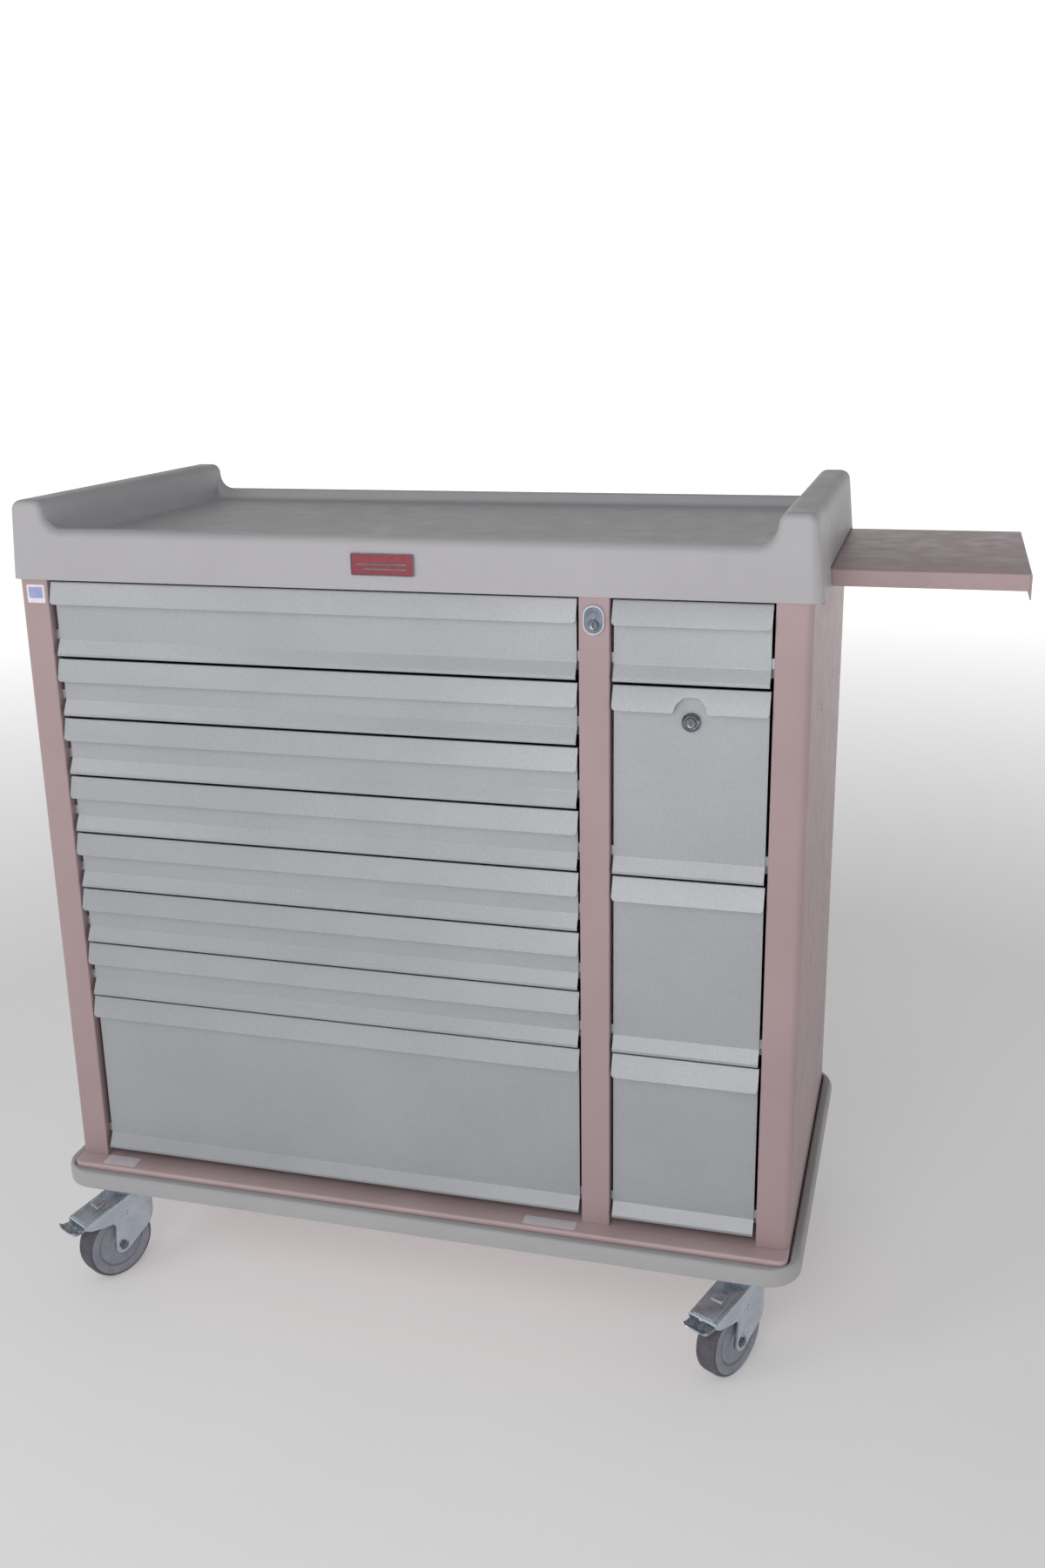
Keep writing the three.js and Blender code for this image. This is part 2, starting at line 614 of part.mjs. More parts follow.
function casterPlate() {
  const plate = alongZ(roundedRectangle(-45, -33, 45, 33, 8), CASTER_HEIGHT - 3, CASTER_HEIGHT);
  const race = turned([
    [0, 116], [10, 116], [10, HOOD_TOP - 2.5 - GAP], [6, HOOD_TOP - 2.5 - GAP],
    [6, HOOD_TOP + GAP], [24, HOOD_TOP + GAP], [29, CASTER_HEIGHT - 5],
    [29, CASTER_HEIGHT - 2], [0, CASTER_HEIGHT - 2],
  ], 12);
  return join(plate, race);
}

// One cheek of the fork, from the side: hub lobe, upright leg, notch and sloping arm.
function cheekOutline() {
  const shape = new THREE.Shape();
  shape.absarc(CASTER_TRAIL, AXLE_HEIGHT, 12, Math.PI * 1.25, Math.PI * 2.1);
  shape.lineTo(45, 88);
  shape.lineTo(84, 94);
  shape.lineTo(HOOD_END - 2, 99);
  shape.lineTo(HOOD_END, HOOD_TIP);
  shape.lineTo(22, HOOD_TOP);
  shape.lineTo(-21, HOOD_TOP);
  shape.lineTo(-24, HOOD_TOP - 3);
  shape.lineTo(-24, 84);
  shape.lineTo(-10, 68);
  return shape;
}

function forkSolid(withPedal) {
  const whole = alongY(cheekOutline(), -CHEEK_OUTER, CHEEK_OUTER);
  const inside = polygon([
    [-21.5, 30], [-21.5, HOOD_TOP - 2.5], [22, HOOD_TOP - 2.5], [HOOD_END, HOOD_TIP - 2.5],
    [HOOD_END + 5, HOOD_TIP - 2.5], [HOOD_END + 5, 30],
  ]);
  const hollow = alongY(inside, -CHEEK_INNER, CHEEK_INNER);
  const kingpinHole = alongZ(circle(0, 0, 6.6), HOOD_TOP - 10, HOOD_TOP + 5);
  const tab = alongY(polygon([[50, 115.5], [70, 110.5], [70, 113.5], [52, 118.5]]), -9, 9);
  const axle = alongY(circle(CASTER_TRAIL, AXLE_HEIGHT, 6), -CHEEK_OUTER - 2, CHEEK_OUTER + 2);
  const heads = [[-28, -CHEEK_OUTER + 0.2], [CHEEK_OUTER - 0.2, 28]].map(([y0, y1]) => (
    alongY(hexagon(CASTER_TRAIL, AXLE_HEIGHT, 9), y0, y1)));
  const fork = join(cut(whole, hollow, kingpinHole), tab, axle, ...heads);
  if (!withPedal) {
    return fork;
  }
  const { x, z } = PEDAL_PIVOT;
  return cut(fork, alongY(circle(x, z, 3.3), -CHEEK_OUTER - 1, CHEEK_OUTER + 1, 0, 1));
}

function wheelSolid() {
  const half = WHEEL_WIDTH / 2;
  const corner = WHEEL_RADIUS / Math.cos(Math.PI / 24);
  const side = [
    [6.6, half + 2], [14, half + 2], [15, half - 2], [46, half], [49.5, half - 2.5],
    [corner, half - 7],
  ];
  const otherSide = side.map(([radius, y]) => [radius, -y]).reverse();
  const profile = [...side, ...otherSide, side[0]].reverse();
  const halfTurn = Math.PI / 24;       // puts a flat of the rim on the floor
  const points = profile.map(([radius, y]) => new THREE.Vector2(radius, y));
  const geometry = new THREE.LatheGeometry(points, 24).rotateY(halfTurn);
  return solid(geometry.translate(CASTER_TRAIL, 0, AXLE_HEIGHT));
}

function pedalSolid() {
  const { x, z } = PEDAL_PIVOT;
  const lever = polygon([
    [x - 4, z + 2], [x - 4, z - 2], [x, z - 4.2], [88, 95.5], [102, 92.5], [110, 96.5],
    [109, 99], [102.5, 95.5], [89, 98.5], [x + 4, z + 0.5], [x + 1, z + 3],
  ]);
  const trunnions = alongY(circle(x, z, 3), -CHEEK_OUTER, CHEEK_OUTER, 0, 1);
  return join(alongY(lever, -16, 16), trunnions);
}

function buildCasters() {
  const places = [
    ['front_left', CASTER_INSET_X, PAN_FRONT + CASTER_INSET_Y, true],
    ['front_right', CABINET_WIDTH - CASTER_INSET_X, PAN_FRONT + CASTER_INSET_Y, true],
    ['rear_left', CASTER_INSET_X, PAN_BACK - CASTER_INSET_Y, false],
    ['rear_right', CABINET_WIDTH - CASTER_INSET_X, PAN_BACK - CASTER_INSET_Y, false],
  ];
  for (const [name, x, y, braked] of places) {
    const mount = new THREE.Group();
    mount.position.set(x, y, 0);
    cart.add(mount);
    add(`${name}_caster_plate`, casterPlate(), zincPlate, mount);
    const swivel = new THREE.Group();
    swivel.rotation.z = THREE.MathUtils.degToRad(-90 - CASTER_ANGLE);
    mount.add(swivel);
    add(`${name}_fork`, forkSolid(braked), zincPlate, swivel);
    add(`${name}_wheel`, wheelSolid(), wheelGrey, swivel);
    if (braked) {
      add(`${name}_brake_pedal`, pedalSolid(), zincPlate, swivel);
    }
  }
}

// ---- assembly -----------------------------------------------------------------------------

buildShell();
buildRacks();
buildDrawers();
buildLocks();
buildWorktop();
buildSideShelf();
buildBase();
buildCasters();

// The origin goes to the middle of the whole cart's footprint, at floor level.
const extent = new THREE.Box3().setFromObject(cart);
cart.position.x = -(extent.min.x + extent.max.x) / 2;
cart.position.y = -(extent.min.y + extent.max.y) / 2;

export default cart;
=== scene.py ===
"""Instrument cart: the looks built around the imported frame."""
import math
import bmesh
import bpy
from mathutils import Matrix, Vector


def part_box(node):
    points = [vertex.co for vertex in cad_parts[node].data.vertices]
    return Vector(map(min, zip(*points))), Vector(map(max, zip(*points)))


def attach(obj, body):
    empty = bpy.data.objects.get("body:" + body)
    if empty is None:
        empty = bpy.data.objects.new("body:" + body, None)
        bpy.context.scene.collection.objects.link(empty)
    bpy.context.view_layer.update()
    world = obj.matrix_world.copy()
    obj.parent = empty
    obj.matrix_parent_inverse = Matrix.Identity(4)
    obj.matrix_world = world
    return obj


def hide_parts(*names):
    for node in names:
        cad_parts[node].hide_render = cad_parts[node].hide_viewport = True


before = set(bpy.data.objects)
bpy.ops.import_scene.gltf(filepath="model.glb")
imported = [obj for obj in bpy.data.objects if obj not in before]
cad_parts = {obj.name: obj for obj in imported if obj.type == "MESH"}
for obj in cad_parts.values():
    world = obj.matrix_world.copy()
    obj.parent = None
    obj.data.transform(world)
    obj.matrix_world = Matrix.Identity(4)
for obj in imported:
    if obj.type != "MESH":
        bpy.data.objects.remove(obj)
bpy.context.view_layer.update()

# ---- layout ---------------------------------------------------------------------------------
# Pieces are laid out in millimetres: X from the cabinet's left side, Y from its front plane
# towards the back, Z from the floor.  place() turns such a point into the frame's metres.

MM = 0.001
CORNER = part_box("left_side_panel")[0]


def place(point):
    return Vector((CORNER.x + point[0] * MM, CORNER.y + point[1] * MM, point[2] * MM))


def node_box(node):
    """Lowest and highest corner of a CAD node, in layout millimetres."""
    low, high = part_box(node)
    shift = Vector((CORNER.x, CORNER.y, 0))
    return (low - shift) / MM, (high - shift) / MM


PAN_LOW, PAN_HIGH = node_box("floor_pan")
PANEL_TOP = node_box("left_side_panel")[1].z
PANEL_BOTTOM = node_box("left_side_panel")[0].z
LEFT_POST = node_box("left_side_panel")[1].x
CABINET_WIDTH = node_box("right_side_panel")[1].x
CABINET_DEPTH = node_box("left_side_panel")[1].y
RIGHT_POST = CABINET_WIDTH - node_box("right_side_panel")[0].x
SHEET = 1.5                  # thickness of the sheet steel

# ---- meshes ---------------------------------------------------------------------------------


def arc(centre, radius, start, end, steps):
    """Points on an arc, angles in degrees."""
    points = []
    for step in range(steps + 1):
        angle = math.radians(start + (end - start) * step / steps)
        points.append((centre[0] + radius * math.cos(angle), centre[1] + radius * math.sin(angle)))
    return points


def filleted(corners, steps):
    """A line through (a, b, radius) corners.  Each corner with a radius is rounded."""
    points = []
    for index, (a, b, radius) in enumerate(corners):
        here = Vector((a, b))
        if radius == 0 or index in (0, len(corners) - 1):
            points.append(here)
            continue
        before = (Vector(corners[index - 1][:2]) - here).normalized()
        after = (Vector(corners[index + 1][:2]) - here).normalized()
        half = before.angle(after) / 2
        centre = here + (before + after).normalized() * (radius / math.sin(half))
        start = here + before * (radius / math.tan(half)) - centre
        sweep = start.angle_signed(here + after * (radius / math.tan(half)) - centre)
        for step in range(steps + 1):
            turned = Matrix.Rotation(-sweep * step / steps, 2) @ start
            points.append(centre + turned)
    return points


def bent_sheet(corners, thickness, side=1, steps=6):
    """The closed outline of a bent sheet.  side tells which way the thickness goes."""
    face = filleted(corners, steps)
    back = []
    for index, point in enumerate(face):
        ahead = face[min(index + 1, len(face) - 1)] - face[max(index - 1, 0)]
        normal = Vector((-ahead.y, ahead.x)).normalized()
        if 0 < index < len(face) - 1:
            one = (point - face[index - 1]).normalized()
            normal = normal / max(0.5, normal.dot(Vector((-one.y, one.x))))
        back.append(point + normal * thickness * side)
    return face + back[::-1]


def rounded_rectangle(a0, b0, a1, b1, radius, steps=6):
    return (arc((a1 - radius, b0 + radius), radius, -90, 0, steps)
            + arc((a1 - radius, b1 - radius), radius, 0, 90, steps)
            + arc((a0 + radius, b1 - radius), radius, 90, 180, steps)
            + arc((a0 + radius, b0 + radius), radius, 180, 270, steps))


def upright_oval(x, z, width, height, steps=12):
    radius = width / 2
    reach = height / 2 - radius
    return arc((x, z + reach), radius, 0, 180, steps) + arc((x, z - reach), radius, 180, 360, steps)


AXES = {
    "X": lambda a, b, along: (along, a, b),
    "Y": lambda a, b, along: (a, along, b),
    "Z": lambda a, b, along: (a, b, along),
}


def prism(outline, axis, low, high):
    """An outline carried along an axis: drawn (y, z) for X, (x, z) for Y and (x, y) for Z."""
    shape = bmesh.new()
    rings = []
    for along in (low, high):
        rings.append([shape.verts.new(AXES[axis](p[0], p[1], along)) for p in outline])
    skin(shape, rings, closed=True)
    shape.faces.new(rings[0])
    shape.faces.new(rings[1])
    bmesh.ops.recalc_face_normals(shape, faces=shape.faces)
    return shape


def skin(shape, rings, closed):
    """Quads between each ring of vertices and the next."""
    for one, two in zip(rings, rings[1:]):
        count = len(one)
        for index in range(count if closed else count - 1):
            after = (index + 1) % count
            shape.faces.new((one[index], one[after], two[after], two[index]))


def turned(profile, steps):
    """A round piece about the Y axis from (radius, y) points, as a closed loop."""
    shape = bmesh.new()
    rings = []
    for step in range(steps):
        angle = 2 * math.pi * step / steps
        rings.append([shape.verts.new((r * math.cos(angle), y, r * math.sin(angle)))
                      for r, y in profile])
    skin(shape, rings + rings[:1], closed=True)
    bmesh.ops.recalc_face_normals(shape, faces=shape.faces)
    return shape


def box(low, high):
    return prism([(low[0], low[1]), (high[0], low[1]), (high[0], high[1]), (low[0], high[1])],
                 "Z", low[2], high[2])


def round_edges(shape, width, steps, wanted):
    edges = [edge for edge in shape.edges if wanted(edge)]
    bmesh.ops.bevel(shape, geom=edges, offset=width, segments=steps, affect="EDGES",
                    profile=0.5, clamp_overlap=True)


def sharp(edge, degrees=30):
    return len(edge.link_faces) == 2 and edge.calc_face_angle(0) > math.radians(degrees)


def merged(*shapes):
    """Several shapes as one mesh."""
    whole = bmesh.new()
    for shape in shapes:
        part = bpy.data.meshes.new("part")
        shape.to_mesh(part)
        whole.from_mesh(part)
        bpy.data.meshes.remove(part)
        shape.free()
    return whole


def plain_object(name, shape):
    mesh = bpy.data.meshes.new(name)
    shape.to_mesh(mesh)
    shape.free()
    made = bpy.data.objects.new(name, mesh)
    bpy.context.scene.collection.objects.link(made)
    return made


def solved(made):
    """The shape that an object's modifiers give.  The object itself is used up."""
    bpy.context.view_layer.update()
    mesh = bpy.data.meshes.new_from_object(
        made.evaluated_get(bpy.context.evaluated_depsgraph_get()))
    result = bmesh.new()
    result.from_mesh(mesh)
    bpy.data.meshes.remove(mesh)
    bpy.data.objects.remove(made)
    return result


def boolean(body, cutter, operation):
    """body cut by cutter (DIFFERENCE) or kept inside it (INTERSECT)."""
    first = plain_object("body", body)
    second = plain_object("cutter", cutter)
    step = first.modifiers.new("boolean", "BOOLEAN")
    step.object = second
    step.operation = operation
    step.solver = "EXACT"
    result = solved(first)
    bpy.data.objects.remove(second)
    return result


def thickened(surface, thickness, offset):
    """A wall from an open surface.  offset is -1 for a wall behind it and 0 for one around it."""
    made = plain_object("surface", surface)
    wall = made.modifiers.new("wall", "SOLIDIFY")
    wall.thickness = thickness
    wall.offset = offset
    return solved(made)


def piece(name, shape, material, body, replaces=(), edge=0.0, local=None, angle=35):
    """Makes a shape in layout millimetres into a piece that rides on a CAD body."""
    if local is not None:
        shape.transform(local)
    for vert in shape.verts:
        vert.co = place(vert.co)
    made = plain_object(name, shape)
    made.data.shade_smooth()
    made.data.set_sharp_from_angle(angle=math.radians(angle))
    made.data.materials.append(material)
    if edge:
        bevel = made.modifiers.new("edges", "BEVEL")
        bevel.width = edge * MM
        bevel.segments = 2
        bevel.limit_method = "ANGLE"
        bevel.angle_limit = math.radians(40)
        bevel.harden_normals = True
    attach(made, body)
    if replaces:
        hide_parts(*replaces)


# ---- materials ------------------------------------------------------------------------------


class Surface:
    """A Principled material and the few nodes that the finishes below are made of."""

    def __init__(self, name, **constants):
        self.material = bpy.data.materials.new(name)
        self.material.use_nodes = True
        self.nodes = self.material.node_tree.nodes
        self.links = self.material.node_tree.links
        self.shader = self.nodes["Principled BSDF"]
        for socket, value in constants.items():
            self.shader.inputs[socket.replace("_", " ")].default_value = value
        self.place = self.nodes.new("ShaderNodeTexCoord").outputs["Object"]

    def noise(self, grain, detail=3.0, stretch=(1, 1, 1), rough=0.5):
        """Noise with grains of about this many millimetres, 0 to 1."""
        scale = self.nodes.new("ShaderNodeMapping")
        scale.inputs["Scale"].default_value = stretch
        self.links.new(self.place, scale.inputs["Vector"])
        noise = self.nodes.new("ShaderNodeTexNoise")
        noise.inputs["Scale"].default_value = 1 / (grain * MM)
        noise.inputs["Detail"].default_value = detail
        noise.inputs["Roughness"].default_value = rough
        self.links.new(scale.outputs["Vector"], noise.inputs["Vector"])
        return noise.outputs["Fac"]

    def cells(self, grain, output="Color"):
        """Random flat cells of about this many millimetres."""
        cells = self.nodes.new("ShaderNodeTexVoronoi")
        cells.inputs["Scale"].default_value = 1 / (grain * MM)
        self.links.new(self.place, cells.inputs["Vector"])
        return cells.outputs[output]

    def ramp(self, source, stops):
        ramp = self.nodes.new("ShaderNodeValToRGB")
        elements = ramp.color_ramp.elements
        while len(elements) < len(stops):
            elements.new(0.5)
        for element, (position, colour) in zip(elements, stops):
            element.position = position
            element.color = colour
        self.links.new(source, ramp.inputs["Fac"])
        return ramp.outputs["Color"]

    def between(self, source, low, high, floor=0.0, ceiling=1.0):
        """source from low..high spread over floor..ceiling."""
        spread = self.nodes.new("ShaderNodeMapRange")
        for socket, value in zip(("From Min", "From Max", "To Min", "To Max"),
                                 (low, high, floor, ceiling)):
            spread.inputs[socket].default_value = value
        self.links.new(source, spread.inputs["Value"])
        return spread.outputs["Result"]

    def mix(self, factor, one, two, blend="MIX"):
        """Two colours or colour outputs mixed."""
        mix = self.nodes.new("ShaderNodeMix")
        mix.data_type = "RGBA"
        mix.blend_type = blend
        for socket, value in ((mix.inputs[0], factor), (mix.inputs[6], one), (mix.inputs[7], two)):
            if isinstance(value, (int, float, tuple)):
                socket.default_value = value
            else:
                self.links.new(value, socket)
        return mix.outputs[2]

    def colour(self, source):
        self.links.new(source, self.shader.inputs["Base Color"])

    def roughness(self, source, low, high, floor, ceiling):
        self.links.new(self.between(source, low, high, floor, ceiling),
                       self.shader.inputs["Roughness"])

    def bump(self, *layers):
        """Layers of (source, height in millimetres) on top of each other."""
        normal = None
        for source, height in layers:
            bump = self.nodes.new("ShaderNodeBump")
            bump.inputs["Distance"].default_value = height * MM
            bump.inputs["Strength"].default_value = 1
            self.links.new(source, bump.inputs["Height"])
            if normal is not None:
                self.links.new(normal, bump.inputs["Normal"])
            normal = bump.outputs["Normal"]
        self.links.new(normal, self.shader.inputs["Normal"])


def tone(red, green, blue):
    """A screen colour of 0 to 255 as the linear colour that a node takes."""
    def linear(value):
        value = value / 255
        return value / 12.92 if value <= 0.04045 else ((value + 0.055) / 1.055) ** 2.4
    return (linear(red), linear(green), linear(blue), 1.0)


def powder_coat(name, light, dark, peel):
    """Powder coat: orange peel and faint clouding."""
    surface = Surface(name)
    clouds = surface.noise(90, 2)
    speckle = surface.noise(0.7, 2)
    colour = surface.mix(surface.between(clouds, 0.35, 0.65), dark, light)
    grain = surface.ramp(speckle, [(0.35, (0.93, 0.93, 0.93, 1)), (0.65, (1.05, 1.05, 1.05, 1))])
    surface.colour(surface.mix(1.0, colour, grain, "MULTIPLY"))
    surface.roughness(surface.noise(25, 3), 0.3, 0.7, 0.38, 0.5)
    surface.bump((surface.noise(2.2, 2), peel), (speckle, peel * 0.4))
    return surface.material


def silver_coat():
    """Silver coat: fine bright metal flakes in grey."""
    surface = Surface("silver_coat", Metallic=0.35)
    base = surface.mix(surface.between(surface.noise(120, 2), 0.35, 0.65),
                       tone(169, 171, 175), tone(173, 175, 178))
    flakes = surface.cells(0.55)
    bright = surface.ramp(flakes, [(0.1, (0.84, 0.84, 0.85, 1)), (0.75, (1.0, 1.0, 1.0, 1)),
                                   (0.97, (1.3, 1.3, 1.3, 1))])
    surface.colour(surface.mix(1.0, base, bright, "MULTIPLY"))
    surface.roughness(surface.noise(1.1, 3), 0.3, 0.7, 0.33, 0.5)
    surface.bump((surface.noise(1.6, 3), 0.05), (surface.cells(0.55, "Distance"), 0.03))
    return surface.material


def moulding(name, light, dark, grain_size, scuffs):
    """Moulded plastic with a fine leather grain and a few faint scuffs."""
    surface = Surface(name, Specular_IOR_Level=0.45)
    clouds = surface.noise(140, 3)
    colour = surface.mix(surface.between(clouds, 0.35, 0.65), dark, light)
    speckle = surface.ramp(surface.noise(0.9, 2), [(0.3, (0.95, 0.95, 0.95, 1)),
                                                   (0.7, (1.03, 1.03, 1.03, 1))])
    colour = surface.mix(1.0, colour, speckle, "MULTIPLY")
    streaks = surface.noise(18, 5, (1, 1, 9), 0.65)
    marks = surface.between(streaks, 0.66, 0.8, 0, scuffs)
    surface.colour(surface.mix(marks, colour, surface.mix(0.5, light, (1, 1, 1, 1))))
    surface.roughness(surface.noise(30, 4), 0.3, 0.7, 0.42, 0.56)
    surface.bump((surface.cells(grain_size, "Distance"), 0.05), (surface.noise(0.8, 3), 0.03))
    return surface.material


def galvanised():
    """Galvanised sheet: flat spangles, dull patches and faint rolling lines."""
    surface = Surface("galvanised", Metallic=0.85)
    spangle = surface.ramp(surface.cells(9), [(0.0, tone(150, 154, 160)), (0.5, tone(172, 176, 182)),
                                              (1.0, tone(196, 200, 205))])
    dull = surface.between(surface.noise(60, 4), 0.5, 0.75, 0, 0.5)
    surface.colour(surface.mix(dull, spangle, tone(165, 166, 168)))
    surface.roughness(surface.cells(9), 0.0, 1.0, 0.32, 0.5)
    surface.bump((surface.noise(14, 3, (1, 8, 1)), 0.08))
    return surface.material


def zinc_plate(name, light, dark, low, high):
    """Bright zinc: bluish, with soft blotches and drawing marks left by the press."""
    surface = Surface(name, Metallic=0.7)
    blotches = surface.between(surface.noise(20, 3), 0.3, 0.7)
    surface.colour(surface.mix(blotches, dark, light))
    surface.roughness(surface.noise(12, 2), 0.3, 0.7, low, high)
    surface.bump((surface.noise(22, 2, (1, 1, 3)), 0.03))
    return surface.material


def rubber(name, light, dark, low, high):
    """Caster plastic and tread: matt, finely pitted, with dusty patches."""
    surface = Surface(name, Specular_IOR_Level=0.4)
    dust = surface.between(surface.noise(12, 5, rough=0.6), 0.35, 0.75)
    surface.colour(surface.mix(dust, dark, light))
    surface.roughness(surface.noise(5, 4), 0.3, 0.7, low, high)
    surface.bump((surface.noise(0.9, 3), 0.06), (surface.noise(5, 3), 0.08))
    return surface.material


def milky_trim():
    """Frosted clear plastic of the lock's trim."""
    surface = Surface("clear_trim", IOR=1.46, Subsurface_Weight=0.3, Subsurface_Scale=0.002)
    haze = surface.between(surface.noise(4, 3), 0.3, 0.7)
    surface.colour(surface.mix(haze, tone(178, 182, 194), tone(202, 206, 216)))
    surface.roughness(surface.noise(3, 3), 0.3, 0.7, 0.25, 0.4)
    surface.bump((surface.noise(2.5, 2), 0.03))
    return surface.material


def enamel():
    """Deep red enamel under a clear coat, a little darker where it pooled."""
    surface = Surface("red_enamel", Coat_Weight=0.6, Coat_Roughness=0.12)
    pooled = surface.between(surface.noise(6, 4), 0.3, 0.7)
    surface.colour(surface.mix(pooled, tone(116, 16, 34), tone(142, 26, 46)))
    surface.roughness(surface.noise(2, 3), 0.3, 0.7, 0.25, 0.4)
    surface.bump((surface.noise(5, 2), 0.05))
    return surface.material


def label_vinyl(name, light, dark):
    """Printed vinyl label: satin, faintly mottled."""
    surface = Surface(name, Specular_IOR_Level=0.4)
    surface.colour(surface.mix(surface.between(surface.noise(5, 3), 0.3, 0.7), dark, light))
    surface.roughness(surface.noise(3, 3), 0.3, 0.7, 0.35, 0.5)
    surface.bump((surface.noise(1.5, 3), 0.02))
    return surface.material


ROSE = powder_coat("rose_paint", tone(171, 148, 150), tone(167, 144, 146), 0.05)
# Painted light: the base pan has the posts' paint made a little lighter, to make up for the shade
# that the bumper and cabinet cast on it.
PAN_PAINTED_LIGHT = powder_coat("pan_painted_light", tone(201, 178, 180), tone(193, 170, 172), 0.05)
SILVER = silver_coat()
WORKTOP_PLASTIC = moulding("grey_moulding", tone(175, 173, 176), tone(172, 170, 173), 1.3, 0.15)
BUMPER_PLASTIC = moulding("bumper_plastic", tone(176, 175, 177), tone(172, 171, 173), 1.6, 0.3)
GALVANISED = galvanised()
ZINC = zinc_plate("zinc_plate", tone(196, 204, 212), tone(178, 187, 197), 0.2, 0.32)
CHROME = zinc_plate("chrome", tone(132, 135, 141), tone(98, 101, 108), 0.1, 0.2)
LOCK_METAL = zinc_plate("lock_metal", tone(132, 140, 154), tone(100, 107, 121), 0.25, 0.4)
TREAD = rubber("wheel_tread", tone(104, 101, 108), tone(84, 82, 90), 0.6, 0.78)
WHEEL_DISC = rubber("wheel_disc", tone(150, 152, 162), tone(134, 136, 147), 0.45, 0.6)
TRIM = milky_trim()
ENAMEL = enamel()
WHITE_LABEL = label_vinyl("white_label", tone(232, 226, 230), tone(220, 212, 218))
PALE_PRINT = label_vinyl("pale_print", tone(164, 168, 206), tone(148, 154, 198))
# Painted shade: the wall holes are drawn as low heads in this dark colour, which stands in for the
# shade inside them.
HOLE_SHADE = rubber("painted_hole_shade", tone(46, 42, 46), tone(30, 28, 32), 0.6, 0.8)

# ---- cabinet shell --------------------------------------------------------------------------


REAR_FLANGE = 20
POST_RETURN = 15             # depth of the posts' folded inner edges
RACK_HOLES = [(157, 841), (330, 844), (148, 516), (336, 514)]    # (y, z), each a pair of holes
HOLE_SPACING = 3.5           # half the distance between the holes of a pair
REAR_SCREWS = 5              # in each rear flange


def side_panel(node, post, mirror):
    """Post with folded inner edge, rounded corner, side wall and rear flange, in plan."""
    def across(x):
        return CABINET_WIDTH - x if mirror else x
    corners = [(post, POST_RETURN, 0), (post, 0, 2), (0, 0, 10), (0, CABINET_DEPTH, 2.5),
               (REAR_FLANGE, CABINET_DEPTH, 0)]
    path = [(across(x), y, radius) for x, y, radius in corners]
    outline = bent_sheet(path, SHEET, side=1 if mirror else -1, steps=8)
    piece(f"{node}_skin", prism(outline, "Z", PANEL_BOTTOM, PANEL_TOP), ROSE, "cabinet",
          replaces=[node])


def dome(radius, height, steps=16):
    """A low round head that faces -Y, standing on y = 0."""
    profile = [(0.05, 0.4), (radius, 0.4)]
    for step in range(5):
        angle = math.radians(90 * step / 4)
        profile.append((max(0.05, radius * math.cos(angle)), -height * math.sin(angle)))
    return turned(profile, steps)


def rivets(name, places, facing, radius, height, material):
    """Small heads on a wall of the cabinet, each turned to the side that facing names."""
    turn = {"right": 90, "back": 180, "left": -90}[facing]
    heads = []
    for point in places:
        head = dome(radius, height)
        head.transform(Matrix.Translation(point) @ Matrix.Rotation(math.radians(turn), 4, "Z"))
        heads.append(head)
    piece(name, merged(*heads), material, "cabinet")


def build_shell():
    side_panel("left_side_panel", LEFT_POST, mirror=False)
    side_panel("right_side_panel", RIGHT_POST, mirror=True)

    low, high = node_box("centre_post")
    path = [(low.x, POST_RETURN, 0), (low.x, 0, 1.8), (high.x, 0, 1.8), (high.x, POST_RETURN, 0)]
    piece("centre_post_skin", prism(bent_sheet(path, SHEET), "Z", low.z, high.z), ROSE,
          "cabinet", replaces=["centre_post"])

    # Pairs of small holes in the side walls, where the racks are fastened, drawn as low heads whose
    # dark colour is painted shade, and the back's screws.
    holes = [(y, z + shift) for y, z in RACK_HOLES for shift in (-HOLE_SPACING, HOLE_SPACING)]
    rivets("right_wall_holes", [(CABINET_WIDTH, y, z) for y, z in holes], "right", 1.8, 0.3,
           HOLE_SHADE)
    rivets("left_wall_holes", [(0, y, z) for y, z in holes], "left", 1.8, 0.3, HOLE_SHADE)
    lowest, highest = PANEL_BOTTOM + 30, PANEL_TOP - 30
    heights = [lowest + step * (highest - lowest) / (REAR_SCREWS - 1) for step in range(REAR_SCREWS)]
    columns = [REAR_FLANGE / 2, CABINET_WIDTH - REAR_FLANGE / 2]
    rivets("rear_flange_screws", [(x, CABINET_DEPTH, z) for x in columns for z in heights], "back",
           4, 1.6, ZINC)


# ---- worktop --------------------------------------------------------------------------------

SKIRT_LIFT = 1.2             # shows the dark joint between the skirt and the drawers
LEDGE_TOP = 1057
TRAY_FLOOR = 1043
SIDE_ROUND = 15              # rounding of the worktop's upright corners
TOP_ROUND = 9                # rounding of its front and back edges
ROUND_FROM = 1050            # height where the one starts to turn into the other
ROUND_OVER = 25
RAIL_OUTER = 0.5             # the end rails, from the cabinet's side
RAIL_INNER = 40.5
WORKTOP_WALL = 4
SLOT_PLAY = 3                # around the side shelf in the skirt
NAMEPLATE_RIM = 1


def worktop_section(inner_x, inner_z, inner_radius):
    """Left half of the worktop from the front: skirt, rail and the surface inside the rail."""
    low, high = node_box("worktop")
    half = filleted([(low.x, low.z, 0), (RAIL_OUTER, high.z, 13), (RAIL_INNER, high.z, 12),
                     (inner_x, inner_z, inner_radius), (CABINET_WIDTH / 2, inner_z, 0)], 8)
    other = [Vector((CABINET_WIDTH - point.x, point.y)) for point in half[:-1]]
    return half + other[::-1]


def outward(section):
    """The direction away from the worktop at each point of its section."""
    normals = []
    for index in range(len(section)):
        ahead = section[min(index + 1, len(section) - 1)] - section[max(index - 1, 0)]
        normals.append(Vector((-ahead.y, ahead.x)).normalized())
    return normals


